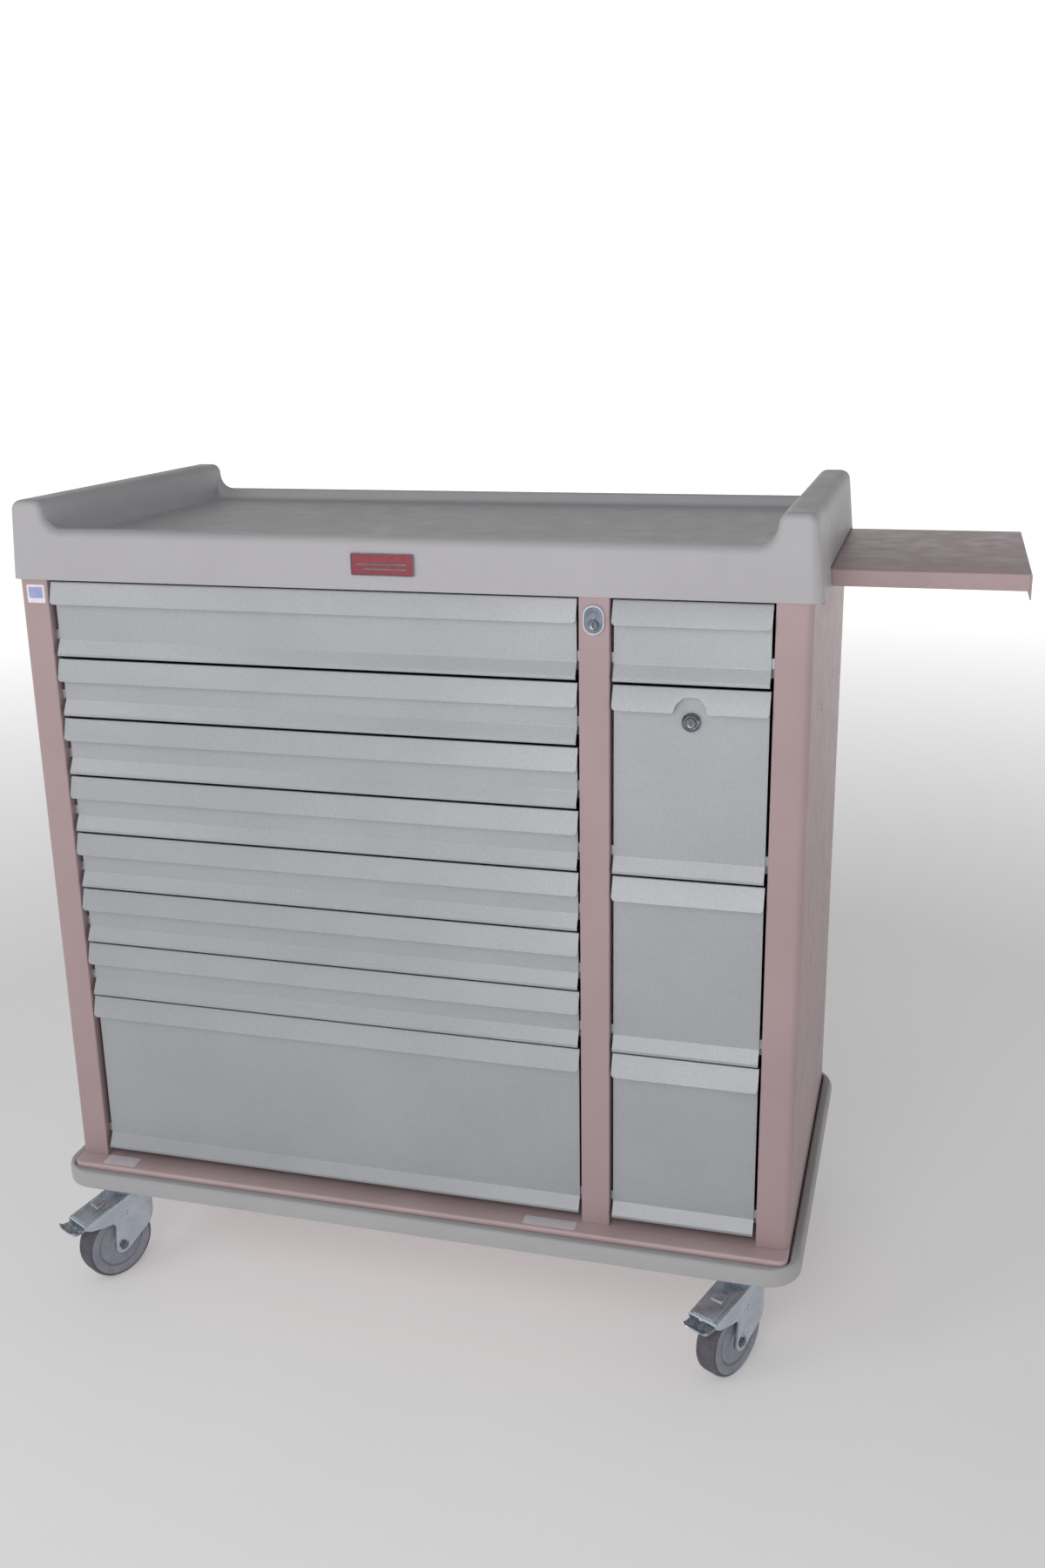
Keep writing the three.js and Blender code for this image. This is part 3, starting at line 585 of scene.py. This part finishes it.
def edge_round(height):
    """The rounding shrinks from the upright corners to the top."""
    share = min(1, max(0, (height - ROUND_FROM) / ROUND_OVER))
    return SIDE_ROUND + (TOP_ROUND - SIDE_ROUND) * share


def worktop_skin():
    """The worktop's surface: one ring of points after another from the front to the back."""
    low, high = node_box("worktop")
    ledge = worktop_section(45, LEDGE_TOP, 22)
    tray = worktop_section(47, TRAY_FLOOR, 11)
    quarter = [math.radians(90 * step / 7) for step in range(8)]

    def edge_ring(angle, end, inward):
        ring = []
        for point, normal in zip(ledge, outward(ledge)):
            radius = edge_round(point.y)
            inset = point - normal * radius * (1 - math.sin(angle))
            y = end + inward * radius * (1 - math.cos(angle))
            ring.append((inset.x, y, max(low.z + SKIRT_LIFT, inset.y)))
        return ring

    def inner_ring(y, height):
        share = (LEDGE_TOP - height) / (LEDGE_TOP - TRAY_FLOOR)
        mixed = [one.lerp(two, share) for one, two in zip(ledge, tray)]
        return [(point.x, y, point.y) for point in mixed]

    descent = filleted([(SIDE_ROUND, LEDGE_TOP, 0), (15.5, LEDGE_TOP, 4), (19, TRAY_FLOOR, 7),
                        (34, TRAY_FLOOR, 0)], 6)[1:]
    rings = [edge_ring(angle, low.y, 1) for angle in quarter]
    rings += [inner_ring(low.y + point.x, point.y) for point in descent]
    rings += [inner_ring(high.y - 6 - point.x, point.y) for point in descent[::-1]]
    rings += [edge_ring(angle, high.y, -1) for angle in quarter[::-1]]

    shape = bmesh.new()
    made = [[shape.verts.new(point) for point in ring] for ring in rings]
    skin(shape, made, closed=False)
    shape.faces.new(made[0])
    shape.faces.new(made[-1])
    bmesh.ops.recalc_face_normals(shape, faces=shape.faces)
    return shape


def build_worktop():
    """The moulding with the slot that the side shelf comes out of."""
    low, high = node_box("worktop")
    shelf_low, shelf_high = node_box("side_shelf")
    slot = box((CABINET_WIDTH - 6, shelf_low.y - SLOT_PLAY, low.z - 10),
               (high.x + 5, shelf_high.y + SLOT_PLAY, shelf_high.z + 2.5))
    shell = boolean(thickened(worktop_skin(), WORKTOP_WALL, -1), slot, "DIFFERENCE")
    piece("worktop_moulding", shell, WORKTOP_PLASTIC, "cabinet", replaces=["worktop"],
          angle=40)


def build_nameplate():
    """A plain badge: metal rim, red field and two plain bars."""
    low, high = node_box("nameplate")

    def plate(inset, radius, front, back):
        outline = rounded_rectangle(low.x + inset, low.z + inset, high.x - inset, high.z - inset,
                                    radius)
        return prism(outline, "Y", front, back)

    rim = boolean(plate(0, 2, low.y, high.y), plate(NAMEPLATE_RIM, 1.2, low.y - 3, low.y + 1),
                  "DIFFERENCE")
    piece("nameplate_rim", rim, LOCK_METAL, "cabinet", replaces=["nameplate"],
          edge=0.4)
    field = plate(NAMEPLATE_RIM - 0.1, 1.2, low.y + 0.5, high.y)
    piece("nameplate_field", field, ENAMEL, "cabinet", edge=0.3)
    middle = (low.z + high.z) / 2
    upper = box((low.x + 7, low.y + 0.1, middle - 0.5), (high.x - 9, low.y + 1, middle + 1.2))
    lower = box((low.x + 16, low.y + 0.1, middle - 6), (high.x - 9, low.y + 1, middle - 4.4))
    piece("nameplate_bars", merged(upper, lower), CHROME, "cabinet", edge=0.2)


# ---- side shelf -----------------------------------------------------------------------------


def build_shelf():
    """A channel that opens downwards, and the lip that its outer end is folded into."""
    low, high = node_box("side_shelf")
    front, back, top = low.y, high.y, high.z
    apron = PANEL_TOP + 0.3
    end = high.x - 2.6
    channel = bent_sheet([(front, apron, 0), (front, top, 2.5), (back, top, 2.5),
                          (back, apron, 0)], SHEET, side=-1)
    tray = prism(channel, "X", low.x, end)
    fold = bent_sheet([(end, top, 0), (high.x, top, 2.5), (high.x, low.z, 0)], SHEET, side=-1)
    lip = prism(fold, "Y", front, back)
    piece("side_shelf_tray", merged(tray, lip), ROSE, "side_shelf", replaces=["side_shelf"])


# ---- drawers --------------------------------------------------------------------------------

PANEL_PLANE = 6.5            # how far the panels lie behind the posts' face
FRONT_SHEET = 1.3            # thickness of the fronts' sheet
FRONT_BEND = 1.4
LIP_HEIGHT = 28
LIP_CORNER = 5
LIP_RETURN = 9               # depth of the lip's rear fold
FLARE_HEIGHT = 20
FLARE_PROUD = 1.9            # how far the lower edge stands before the posts
FLARE_HEM = 4.2              # height of the upright strip at its end
PANEL_INSET = {"left": (3.6, 0.9), "right": (0.7, 1.0)}     # of the panel's ends, in each column
LOCK_LOW, LOCK_HIGH = node_box("controlled_lock_housing")
LOCK_CENTRE = (LOCK_LOW + LOCK_HIGH) / 2


def lock_bay(bottom):
    """(x, height) of the lip's lower edge around the bay over the drawer's own lock."""
    x = LOCK_CENTRE.x
    left = filleted([(x - 30, bottom, 0), (x - 20, bottom, 3), (x - 17, bottom + 9, 5),
                     (x - 9, bottom + 17, 8), (x, bottom + 17.5, 0)], 5)
    right = [Vector((2 * x - point.x, point.y)) for point in left[:-1]]
    return left + right[::-1]


def pull_lip(low, high, bay):
    """The top of a drawer front: a lip that leans forward, its lower corners rounded."""
    bottom = high.z - LIP_HEIGHT
    lean = (PANEL_PLANE - FRONT_SHEET - low.y) / LIP_HEIGHT
    lower_edge = (arc((low.x + LIP_CORNER, bottom + LIP_CORNER), LIP_CORNER, 180, 270, 6) + bay
                  + arc((high.x - LIP_CORNER, bottom + LIP_CORNER), LIP_CORNER, 270, 360, 6))
    shape = bmesh.new()
    rings = []
    for x, z in lower_edge:
        section = bent_sheet([(low.y + lean * (z - bottom), z, 0),
                              (PANEL_PLANE - FRONT_SHEET, high.z, FRONT_BEND),
                              (high.y, high.z, FRONT_BEND), (high.y, high.z - LIP_RETURN, 0)],
                             FRONT_SHEET, side=-1)
        rings.append([shape.verts.new((x, a, b)) for a, b in section])
    skin(shape, rings, closed=True)
    shape.faces.new(rings[0])
    shape.faces.new(rings[-1])
    bmesh.ops.recalc_face_normals(shape, faces=shape.faces)
    return shape


def drawer_front(name, column):
    """One bent sheet: a pull lip folded forward over the panel, and a flared lower edge."""
    low, high = node_box(f"{name}_front")
    from_left, from_right = PANEL_INSET[column]
    flare = [(2.5, low.z, 0), (-FLARE_PROUD, low.z, FRONT_BEND),
             (-FLARE_PROUD, low.z + FLARE_HEM, 1.5), (PANEL_PLANE, low.z + FLARE_HEIGHT, 2.5),
             (PANEL_PLANE, high.z - 2, 0)]
    panel = prism(bent_sheet(flare, FRONT_SHEET, side=-1), "X",
                  low.x + from_left, high.x - from_right)
    bay = lock_bay(high.z - LIP_HEIGHT) if name == "right_drawer_2" else []
    piece(f"{name}_face", merged(panel, pull_lip(low, high, bay)), SILVER, name,
          replaces=[f"{name}_front"], edge=0.35)


def build_drawers():
    for column, count in (("left", 8), ("right", 4)):
        for index in range(1, count + 1):
            drawer_front(f"{column}_drawer_{index}", column)


# ---- locks ----------------------------------------------------------------------------------


CORE_RADIUS = 6
CORE_PLAY = 0.25             # around the core in the main lock's face
CAM_THICKNESS = 2
CAM_HALF = 4.5               # half the width of the cam
FACE_WIDTH = 20.2            # the oval face inside the main lock's trim
FACE_HEIGHT = 29.2
FACE_PLAY = 0.3


def lock_core(name, node, z):
    """The round core with its key slot at height z, and its cam behind."""
    low, high = node_box(node)
    x = (low.x + high.x) / 2
    radius, back = CORE_RADIUS, high.y - CAM_THICKNESS
    rim = turned([(0.05, low.y + 0.5), (radius - 1.8, low.y + 0.3), (radius - 1.2, low.y),
                  (radius - 0.4, low.y), (radius, low.y + 0.6), (radius, back), (0.05, back)], 40)
    rim.transform(Matrix.Translation((x, 0, z)))
    slot = box((x - 0.9, low.y - 2, z - 3.4), (x + 0.9, low.y + 2.8, z + 3.4))
    core = boolean(rim, slot, "DIFFERENCE")
    cam = box((x - CAM_HALF, back, low.z), (x + CAM_HALF, high.y, high.z))
    piece(name, merged(core, cam), CHROME, node, replaces=[node], edge=0.2)


def build_main_lock():
    """A milky oval trim around a metal face, with the core in the face's lower half."""
    low, high = node_box("main_lock_housing")
    x = (low.x + high.x) / 2
    z = (low.z + high.z) / 2
    core_z = node_box("main_lock_plug")[1].z - CORE_RADIUS
    lock_core("main_lock_core", "main_lock_plug", core_z)

    bezel = prism(upright_oval(x, z, high.x - low.x, high.z - low.z), "Y", low.y + 0.4, -0.3)
    well = prism(upright_oval(x, z, FACE_WIDTH + FACE_PLAY, FACE_HEIGHT + FACE_PLAY), "Y",
                 low.y - 2, 2)
    piece("main_lock_bezel", boolean(bezel, well, "DIFFERENCE"), TRIM, "cabinet",
          replaces=["main_lock_housing"], edge=0.9)

    bore = prism(arc((x, core_z), CORE_RADIUS + CORE_PLAY, 0, 337.5, 30), "Y", -9, 30)
    face = boolean(prism(upright_oval(x, z, FACE_WIDTH, FACE_HEIGHT), "Y", low.y + 0.9, high.y),
                   bore, "DIFFERENCE")
    crescent = prism(arc((x, z + 3.5), 7.6, 10, 170, 16) + arc((x, z + 3.5), 6.4, 170, 10, 16), "Y",
                     low.y + 0.3, low.y + 1.5)
    dish = prism(arc((x, z + 4.5), 4.2, 0, 337.5, 24), "Y", low.y + 0.5, low.y + 1.5)
    piece("main_lock_face", merged(face, crescent, dish), LOCK_METAL, "cabinet",
          edge=0.3)


def build_drawer_lock():
    lock_core("drawer_lock_core", "controlled_lock_plug", LOCK_CENTRE.z)
    ring = turned([(6.2, LOCK_LOW.y + 0.6), (7.2, LOCK_LOW.y), (8.4, LOCK_LOW.y),
                   (10.6, LOCK_LOW.y + 2.2), (11, LOCK_LOW.y + 3.4), (11, PANEL_PLANE - 0.3),
                   (9, PANEL_PLANE - 0.3), (9, LOCK_HIGH.y), (6.2, LOCK_HIGH.y)], 48)
    ring.transform(Matrix.Translation((LOCK_CENTRE.x, 0, LOCK_CENTRE.z)))
    piece("drawer_lock_ring", ring, CHROME, "right_drawer_2",
          replaces=["controlled_lock_housing"], angle=25)


# ---- base -----------------------------------------------------------------------------------


PAN_RIM = 28                 # height of the pan's folded rim
PAN_FOLD = 3
PAN_INNER = 30               # from the rim to the rounded rectangle that the top shrinks to
PAN_CORNER = 12
BUMPER_CORNER = 50
CHANNEL_HALF = 36            # half the width of the channels over the casters
CHANNEL_INSET = 12


def ring_points(inner_radius, outer_radius, inner, outer, share, height, steps=12):
    """A rounded rectangle part of the way from an inner one to an outer one, at a height."""
    points = []
    for corner_x, corner_y, start in ((1, 0, -90), (1, 1, 0), (0, 1, 90), (0, 0, 180)):
        for step in range(steps + 1):
            angle = math.radians(start + 90 * step / steps)
            ends = []
            for (x0, y0, x1, y1), radius in ((inner, inner_radius), (outer, outer_radius)):
                cx = x1 - radius if corner_x else x0 + radius
                cy = y1 - radius if corner_y else y0 + radius
                ends.append(Vector((cx + radius * math.cos(angle), cy + radius * math.sin(angle),
                                    height)))
            points.append(ends[0].lerp(ends[1], share))
    return points


def pan_surface():
    """The pan's rim, its rounded fold and its flat top."""
    low, high = PAN_LOW, PAN_HIGH
    plan = (0, low.y, CABINET_WIDTH, high.y)
    centre = (PAN_INNER, low.y + PAN_INNER, CABINET_WIDTH - PAN_INNER, high.y - PAN_INNER)
    levels = [(0, high.z - PAN_RIM)]
    for inset, drop in arc((PAN_FOLD, PAN_FOLD), PAN_FOLD, 180, 270, 5):
        levels.append((inset, high.z - drop))
    shape = bmesh.new()
    rings = []
    for inset, z in levels:
        ring = ring_points(PAN_CORNER, 2, plan, centre, inset / PAN_INNER, z)
        rings.append([shape.verts.new(point) for point in ring])
    skin(shape, rings, closed=True)
    shape.faces.new(rings[-1])
    bmesh.ops.recalc_face_normals(shape, faces=shape.faces)
    return shape


def build_pan():
    """The pan, and the two channels under it that the casters are bolted to."""
    bottom, roof = PAN_LOW.z, PAN_HIGH.z - SHEET
    channels = []
    for caster in ("front_left", "rear_left"):
        plate_low, plate_high = node_box(f"{caster}_caster_plate")
        middle = (plate_low.y + plate_high.y) / 2
        near, far = middle - CHANNEL_HALF, middle + CHANNEL_HALF
        path = [(near, roof, 0), (near, bottom, 3), (far, bottom, 3), (far, roof, 0)]
        channels.append(prism(bent_sheet(path, SHEET), "X", CHANNEL_INSET,
                              CABINET_WIDTH - CHANNEL_INSET))
    pan = thickened(pan_surface(), SHEET, -1)
    piece("floor_pan_sheet", merged(pan, *channels), PAN_PAINTED_LIGHT, "cabinet", replaces=["floor_pan"])


def build_bumper():
    """A moulded ring around the pan: flat outer face, rounded ridge on top."""
    low, high = node_box("bumper")
    inner = (0, PAN_LOW.y, CABINET_WIDTH, PAN_HIGH.y)
    outer = (low.x, low.y, high.x, high.y)
    width = -low.x
    section = filleted([
        (0.3, low.z + 2, 0), (4, low.z, 1.5), (width - 1.2, low.z, 4), (width, high.z - 7, 6),
        (width - 3.5, high.z, 5), (3.2, high.z, 2), (2, high.z - 12, 0), (0.3, high.z - 12, 0)], 5)
    shape = bmesh.new()
    rings = []
    for offset, z in section:
        points = ring_points(PAN_CORNER, BUMPER_CORNER, inner, outer, offset / width, z, 16)
        rings.append([shape.verts.new(point) for point in points])
    skin(shape, rings + rings[:1], closed=True)
    bmesh.ops.recalc_face_normals(shape, faces=shape.faces)
    piece("bumper_ring", shape, BUMPER_PLASTIC, "cabinet", replaces=["bumper"])


# ---- labels ---------------------------------------------------------------------------------


def label(name, low, high, material, axis="Z"):
    """A thin blank label that lies on a surface."""
    if axis == "Z":
        outline = rounded_rectangle(low[0], low[1], high[0], high[1], 2.5)
        shape = prism(outline, "Z", low[2], high[2])
    else:
        outline = rounded_rectangle(low[0], low[2], high[0], high[2], 1.5)
        shape = prism(outline, "Y", low[1], high[1])
    piece(name, shape, material, "cabinet")


def build_labels():
    top = PAN_HIGH.z
    label("pan_label_left", (43, -20, top), (91, 2, top + 0.25), WHITE_LABEL)
    label("pan_label_right", (647, -20, top), (716, -2, top + 0.25), WHITE_LABEL)
    label("post_label", (11, -0.25, 965), (36, 0, 988), WHITE_LABEL, "Y")
    label("post_label_print", (14, -0.4, 971), (33, -0.2, 985), PALE_PRINT, "Y")


# ---- casters --------------------------------------------------------------------------------
# Each caster is drawn about its swivel axis: x towards the wheel, y along the axle.

CASTER_TURN = math.radians(-118)
TRAIL = 37
AXLE_HEIGHT = 51             # the wheel's radius too
HOOD_TOP = 125
HOOD_END = 94
HOOD_TIP = 105
HOOD_BEND = 22               # where the hood starts to slope
FORK_REAR = -24
FORK_WALL = 2.4
CHEEK = 22                   # half the fork's width
AXLE_RADIUS = 5.8
WHEEL_CORE = 44              # radius where the disc ends inside the tread


def plan_outline(half, rear):
    """The fork from above: two straight cheeks and a rounded rear."""
    return [(120, -half), (120, half)] + arc((rear + half, 0), half, 90, 270, 12)


def cheek_outline():
    """The fork from the side: hub lobe, notch, sloping arm, hood and upright rear."""
    lobe = arc((TRAIL, AXLE_HEIGHT), 12, 225, 378, 10)
    rest = filleted([
        (*lobe[-1], 0), (46, 87, 4), (84, 94, 6), (93, 99, 3), (HOOD_END, HOOD_TIP, 0),
        (HOOD_BEND, HOOD_TOP, 12), (FORK_REAR, HOOD_TOP, 0), (FORK_REAR, 86, 8), (-8, 67, 8),
        (*lobe[0], 0)], 4)
    return lobe + rest[1:-1]


def top_edge(edge):
    """An edge between the hood and the walls."""
    if not sharp(edge, 40):
        return False
    ups = [face.normal.z for face in edge.link_faces]
    return max(ups) > 0.8 and min(ups) < 0.3


def fork_shape():
    """A pressed fork: the outside, hollowed out, with a recess around each axle nut."""
    outer = boolean(prism(cheek_outline(), "Y", -CHEEK, CHEEK),
                    prism(plan_outline(CHEEK, FORK_REAR), "Z", 20, 140), "INTERSECT")
    outer.normal_update()
    round_edges(outer, 4, 4, top_edge)
    rear, roof, half = FORK_REAR + FORK_WALL, HOOD_TOP - FORK_WALL, CHEEK - FORK_WALL
    hollow = [(rear, 20), (rear, roof), (HOOD_BEND, roof), (HOOD_END + 8, HOOD_TIP - 4.6),
              (HOOD_END + 8, 20)]
    inside = boolean(prism(hollow, "Y", -half, half),
                     prism(plan_outline(half, rear), "Z", 15, 140), "INTERSECT")
    inside.normal_update()
    round_edges(inside, 2, 3, top_edge)
    fork = boolean(outer, inside, "DIFFERENCE")
    for side in (-1, 1):
        face = side * CHEEK
        reach = sorted((face - side * 1.3, face + side * 3))
        recess = arc((TRAIL, AXLE_HEIGHT), 8, 150, 390, 14) + [(TRAIL + 1, AXLE_HEIGHT + 15)]
        fork = boolean(fork, prism(recess, "Y", *reach), "DIFFERENCE")
        for x, z in ((26, 100), (27, 95.5)):
            dent = prism(arc((x, z), 1.1, 0, 330, 11), "Y", *reach)
            fork = boolean(fork, dent, "DIFFERENCE")
    return fork


def hood_point(x, lift):
    """A point above the sloping part of the hood."""
    slope = (HOOD_TOP - HOOD_TIP) / (HOOD_END - HOOD_BEND)
    return (x, HOOD_TOP - (x - HOOD_BEND) * slope + lift)


def hood_plate(x0, x1, half, lift):
    """A pressed step that stands a little above the hood."""
    outline = [hood_point(x0, -1.5), hood_point(x1, -1.5), hood_point(x1, lift),
               hood_point(x0, lift)]
    return prism(outline, "Y", -half, half)


def axle_end():
    """Hexagon nut and bolt end on both cheeks, and the axle between them."""
    centre = (TRAIL, AXLE_HEIGHT)
    parts = []
    for side in (-1, 1):
        nut = sorted((side * (CHEEK - 1.4), side * (CHEEK + 2.2)))
        parts.append(prism(arc(centre, 6, 15, 315, 5), "Y", *nut))
        bolt = sorted((side * (CHEEK + 2), side * (CHEEK + 3.6)))
        parts.append(prism(arc(centre, 3.2, 0, 337.5, 15), "Y", *bolt))
    parts.append(prism(arc(centre, AXLE_RADIUS, 0, 345, 23), "Y", -CHEEK + 1, CHEEK - 1))
    return merged(*parts)


def pedal_shape():
    """Foot pedal: three lever arms and a dished tread plate with upturned ends."""
    shape = bmesh.new()
    rows = []
    across = [-19, -17.5, -15, -10, -5, 0, 5, 10, 15, 17.5, 19]
    section = filleted([(88, 95.4, 0), (97, 93, 3), (106, 93.4, 4), (110, 97.5, 0)], 4)
    for y in across:
        rise = max(0, abs(y) - 13) ** 1.6 * 0.28
        rows.append([shape.verts.new((point.x, y, point.y + rise)) for point in section])
    skin(shape, rows, closed=False)
    bmesh.ops.recalc_face_normals(shape, faces=shape.faces)
    arm = bent_sheet([(64, 104, 0), (70, 101, 3), (90, 95, 4), (98, 93, 0)], 2.6)
    arms = [prism(arm, "Y", y - 3, y + 3) for y in (-13, 0, 13)]
    return merged(thickened(shape, 1.8, 0), *arms)


def wheel_disc():
    """Half section of the hub and disc, with a groove around the disc, and its mirror image."""
    side = filleted([
        (6.6, 17.5, 0), (13.5, 17.5, 1), (15, 14.6, 1.5), (31.6, 14, 0.4), (32.6, 12.6, 0.4),
        (33.8, 12.6, 0.4), (34.8, 14.9, 0.8), (45.2, 15.6, 0.8), (46.2, 14.6, 0)], 3)
    points = [(point.x, point.y) for point in side]
    return points + [(radius, -y) for radius, y in reversed(points)]


def tread():
    """Half section of the tyre and its mirror image, which share the point in the middle."""
    side = filleted([(WHEEL_CORE, 14.2, 0), (46.3, 14.8, 0), (49.8, 13.6, 3),
                     (AXLE_HEIGHT, 8, 5), (AXLE_HEIGHT, 0, 0)], 5)
    points = [(point.x, point.y) for point in side]
    return points + [(radius, -y) for radius, y in reversed(points[:-1])]


def build_casters():
    fork = fork_shape()
    pressed = merged(hood_plate(46, 91, 15, 1.5), hood_plate(52, 65, 9, 4.5))
    pressed.normal_update()
    round_edges(pressed, 0.8, 3, sharp)
    ends = axle_end()
    pedal = pedal_shape()
    disc = turned(wheel_disc(), 72)
    rubber_ring = turned(tread(), 72)
    for wheel_part in (disc, rubber_ring):
        wheel_part.transform(Matrix.Translation((TRAIL, 0, AXLE_HEIGHT)))
    for corner in ("front_left", "front_right", "rear_left", "rear_right"):
        low, high = node_box(f"{corner}_caster_plate")
        middle = (low + high) / 2
        local = (Matrix.Translation((middle.x, middle.y, 0))
                 @ Matrix.Rotation(CASTER_TURN, 4, "Z"))
        caster, wheel = f"{corner}_caster", f"{corner}_wheel"
        piece(f"{corner}_fork_pressing", fork.copy(), ZINC, caster, replaces=[f"{corner}_fork"],
              edge=0.35, local=local, angle=30)
        piece(f"{corner}_hood_step", pressed.copy(), ZINC, caster, local=local)
        piece(f"{corner}_axle_nuts", ends.copy(), CHROME, caster, edge=0.4,
              local=local)
        piece(f"{corner}_wheel_disc", disc.copy(), WHEEL_DISC, wheel, replaces=[f"{corner}_wheel"],
              local=local, angle=45)
        piece(f"{corner}_wheel_tread", rubber_ring.copy(), TREAD, wheel,
              local=local, angle=60)
        if corner.startswith("front"):
            piece(f"{corner}_pedal_pressing", pedal.copy(), ZINC, f"{corner}_brake_pedal",
                  replaces=[f"{corner}_brake_pedal"], local=local, angle=40)


# ---- frame nodes that stay ------------------------------------------------------------------


def finish_frame():
    """Materials for the CAD nodes whose own shape is right, by the ends of their names."""
    finishes = {"back_panel": ROSE, "roof_panel": GALVANISED, "partition": GALVANISED,
                "bar": GALVANISED, "runner_front": GALVANISED, "runner_back": GALVANISED,
                "rack": GALVANISED, "box": GALVANISED, "caster_plate": ZINC}
    for name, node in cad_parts.items():
        for ending, finish in finishes.items():
            if name.endswith(ending):
                node.data.materials.clear()
                node.data.materials.append(finish)


# ---- scene ----------------------------------------------------------------------------------

WALL_BEHIND = 1.1            # brightness of the studio's walls, ceiling and floor
WALL_BEFORE = 0.7
WALL_RIGHT = 0.3
CEILING = 0.33
GLOW_NEAR = 0.22
GLOW_FAR = 0.9
GLOW_START = 1.4             # metres from the cart where the floor starts to fade to white
GLOW_END = 6
FLOOR_REACH = 30
CAMERA_PLACE = (0.5204, -1.8698, 1.2927)
CAMERA_TURN = (15.75, -16.96, -0.97)    # heading, pitch and roll in degrees
CAMERA_LENS = 34.83
SOFTBOXES = {                # place, aim, width, height and watts
    "left_softbox": ((-1.9, -2.0, 2.2), (-0.3, -0.2, 0.6), 1.0, 1.0, 10),
    "middle_softbox": ((0.0, -2.5, 2.0), (0.3, -0.2, 0.6), 1.0, 1.0, 12.3),
    "low_softbox": ((0.2, -3.2, 1.2), (0.2, -0.2, 0.6), 1.4, 0.8, 9.5),
}


def build_camera():
    camera = bpy.data.objects.new("camera", bpy.data.cameras.new("camera"))
    camera.data.sensor_fit = "VERTICAL"
    camera.data.sensor_height = 36
    camera.data.lens = CAMERA_LENS
    heading, pitch, roll = (math.radians(angle) for angle in CAMERA_TURN)
    camera.matrix_world = (Matrix.Translation(CAMERA_PLACE)
                           @ Matrix.Rotation(heading, 4, "Z")
                           @ Matrix.Rotation(math.pi / 2 + pitch, 4, "X")
                           @ Matrix.Rotation(roll, 4, "Z"))
    bpy.context.scene.collection.objects.link(camera)
    bpy.context.scene.camera = camera


def area_light(name, place_at, aim, width, height, watts):
    data = bpy.data.lights.new(name, "AREA")
    data.shape = "RECTANGLE"
    data.size = width
    data.size_y = height
    data.energy = watts
    lamp = bpy.data.objects.new(name, data)
    lamp.location = place_at
    lamp.rotation_euler = (Vector(aim) - Vector(place_at)).to_track_quat("-Z", "Y").to_euler()
    bpy.context.scene.collection.objects.link(lamp)


def build_world():
    """White at the horizon; above it a bright wall behind the cart and dim ones around."""
    world = bpy.data.worlds.new("studio")
    world.use_nodes = True
    nodes, links = world.node_tree.nodes, world.node_tree.links
    axes = nodes.new("ShaderNodeSeparateXYZ")
    links.new(nodes.new("ShaderNodeTexCoord").outputs["Generated"], axes.inputs["Vector"])

    def fade(axis, start, end, low, high):
        ramp = nodes.new("ShaderNodeMapRange")
        ramp.interpolation_type = "SMOOTHSTEP"
        for socket, value in zip(("From Min", "From Max", "To Min", "To Max"),
                                 (start, end, low, high)):
            ramp.inputs[socket].default_value = value
        links.new(axes.outputs[axis], ramp.inputs["Value"])
        return ramp.outputs["Result"]

    def combined(operation, one, two):
        node = nodes.new("ShaderNodeMath")
        node.operation = operation
        links.new(one, node.inputs[0])
        links.new(two, node.inputs[1])
        return node.outputs[0]

    walls = combined("MULTIPLY", fade("Y", -0.1, 0.1, WALL_BEFORE, WALL_BEHIND),
                     fade("X", 0.05, 0.2, 1, WALL_RIGHT))
    walls = combined("MULTIPLY", walls, fade("Z", 0.2, 0.45, 1, 0))
    strength = combined("ADD", walls, fade("Z", 0.4, 0.7, 0.05, CEILING))
    strength = combined("MAXIMUM", strength, fade("Z", 0.18, 0.26, 1, 0))
    links.new(strength, nodes["Background"].inputs["Strength"])
    nodes["Background"].inputs["Color"].default_value = (1, 1, 1, 1)
    bpy.context.scene.world = world


def build_floor():
    """A pale floor that fades to white far from the cart."""
    shape = bmesh.new()
    far = FLOOR_REACH
    corners = ((-far, -far), (far, -far), (far, far), (-far, far))
    shape.faces.new([shape.verts.new((x, y, 0)) for x, y in corners])
    floor = plain_object("floor", shape)
    ground = Surface("floor_paint", Roughness=0.9, Emission_Strength=1)
    ground.colour(ground.mix(ground.between(ground.noise(400, 3), 0.3, 0.7),
                             (0.78, 0.78, 0.78, 1), (0.8, 0.8, 0.8, 1)))
    distance = ground.nodes.new("ShaderNodeVectorMath")
    distance.operation = "LENGTH"
    ground.links.new(ground.place, distance.inputs[0])
    glow = ground.between(distance.outputs["Value"], GLOW_START, GLOW_END, GLOW_NEAR, GLOW_FAR)
    ground.links.new(glow, ground.shader.inputs["Emission Color"])
    floor.data.materials.append(ground.material)


def build_studio():
    for name, settings in SOFTBOXES.items():
        area_light(name, *settings)
    build_world()
    build_floor()
    bpy.context.scene.view_settings.view_transform = "Standard"


build_camera()
build_shell()
build_worktop()
build_nameplate()
build_shelf()
build_drawers()
build_main_lock()
build_drawer_lock()
build_pan()
build_bumper()
build_labels()
build_casters()
finish_frame()
build_studio()
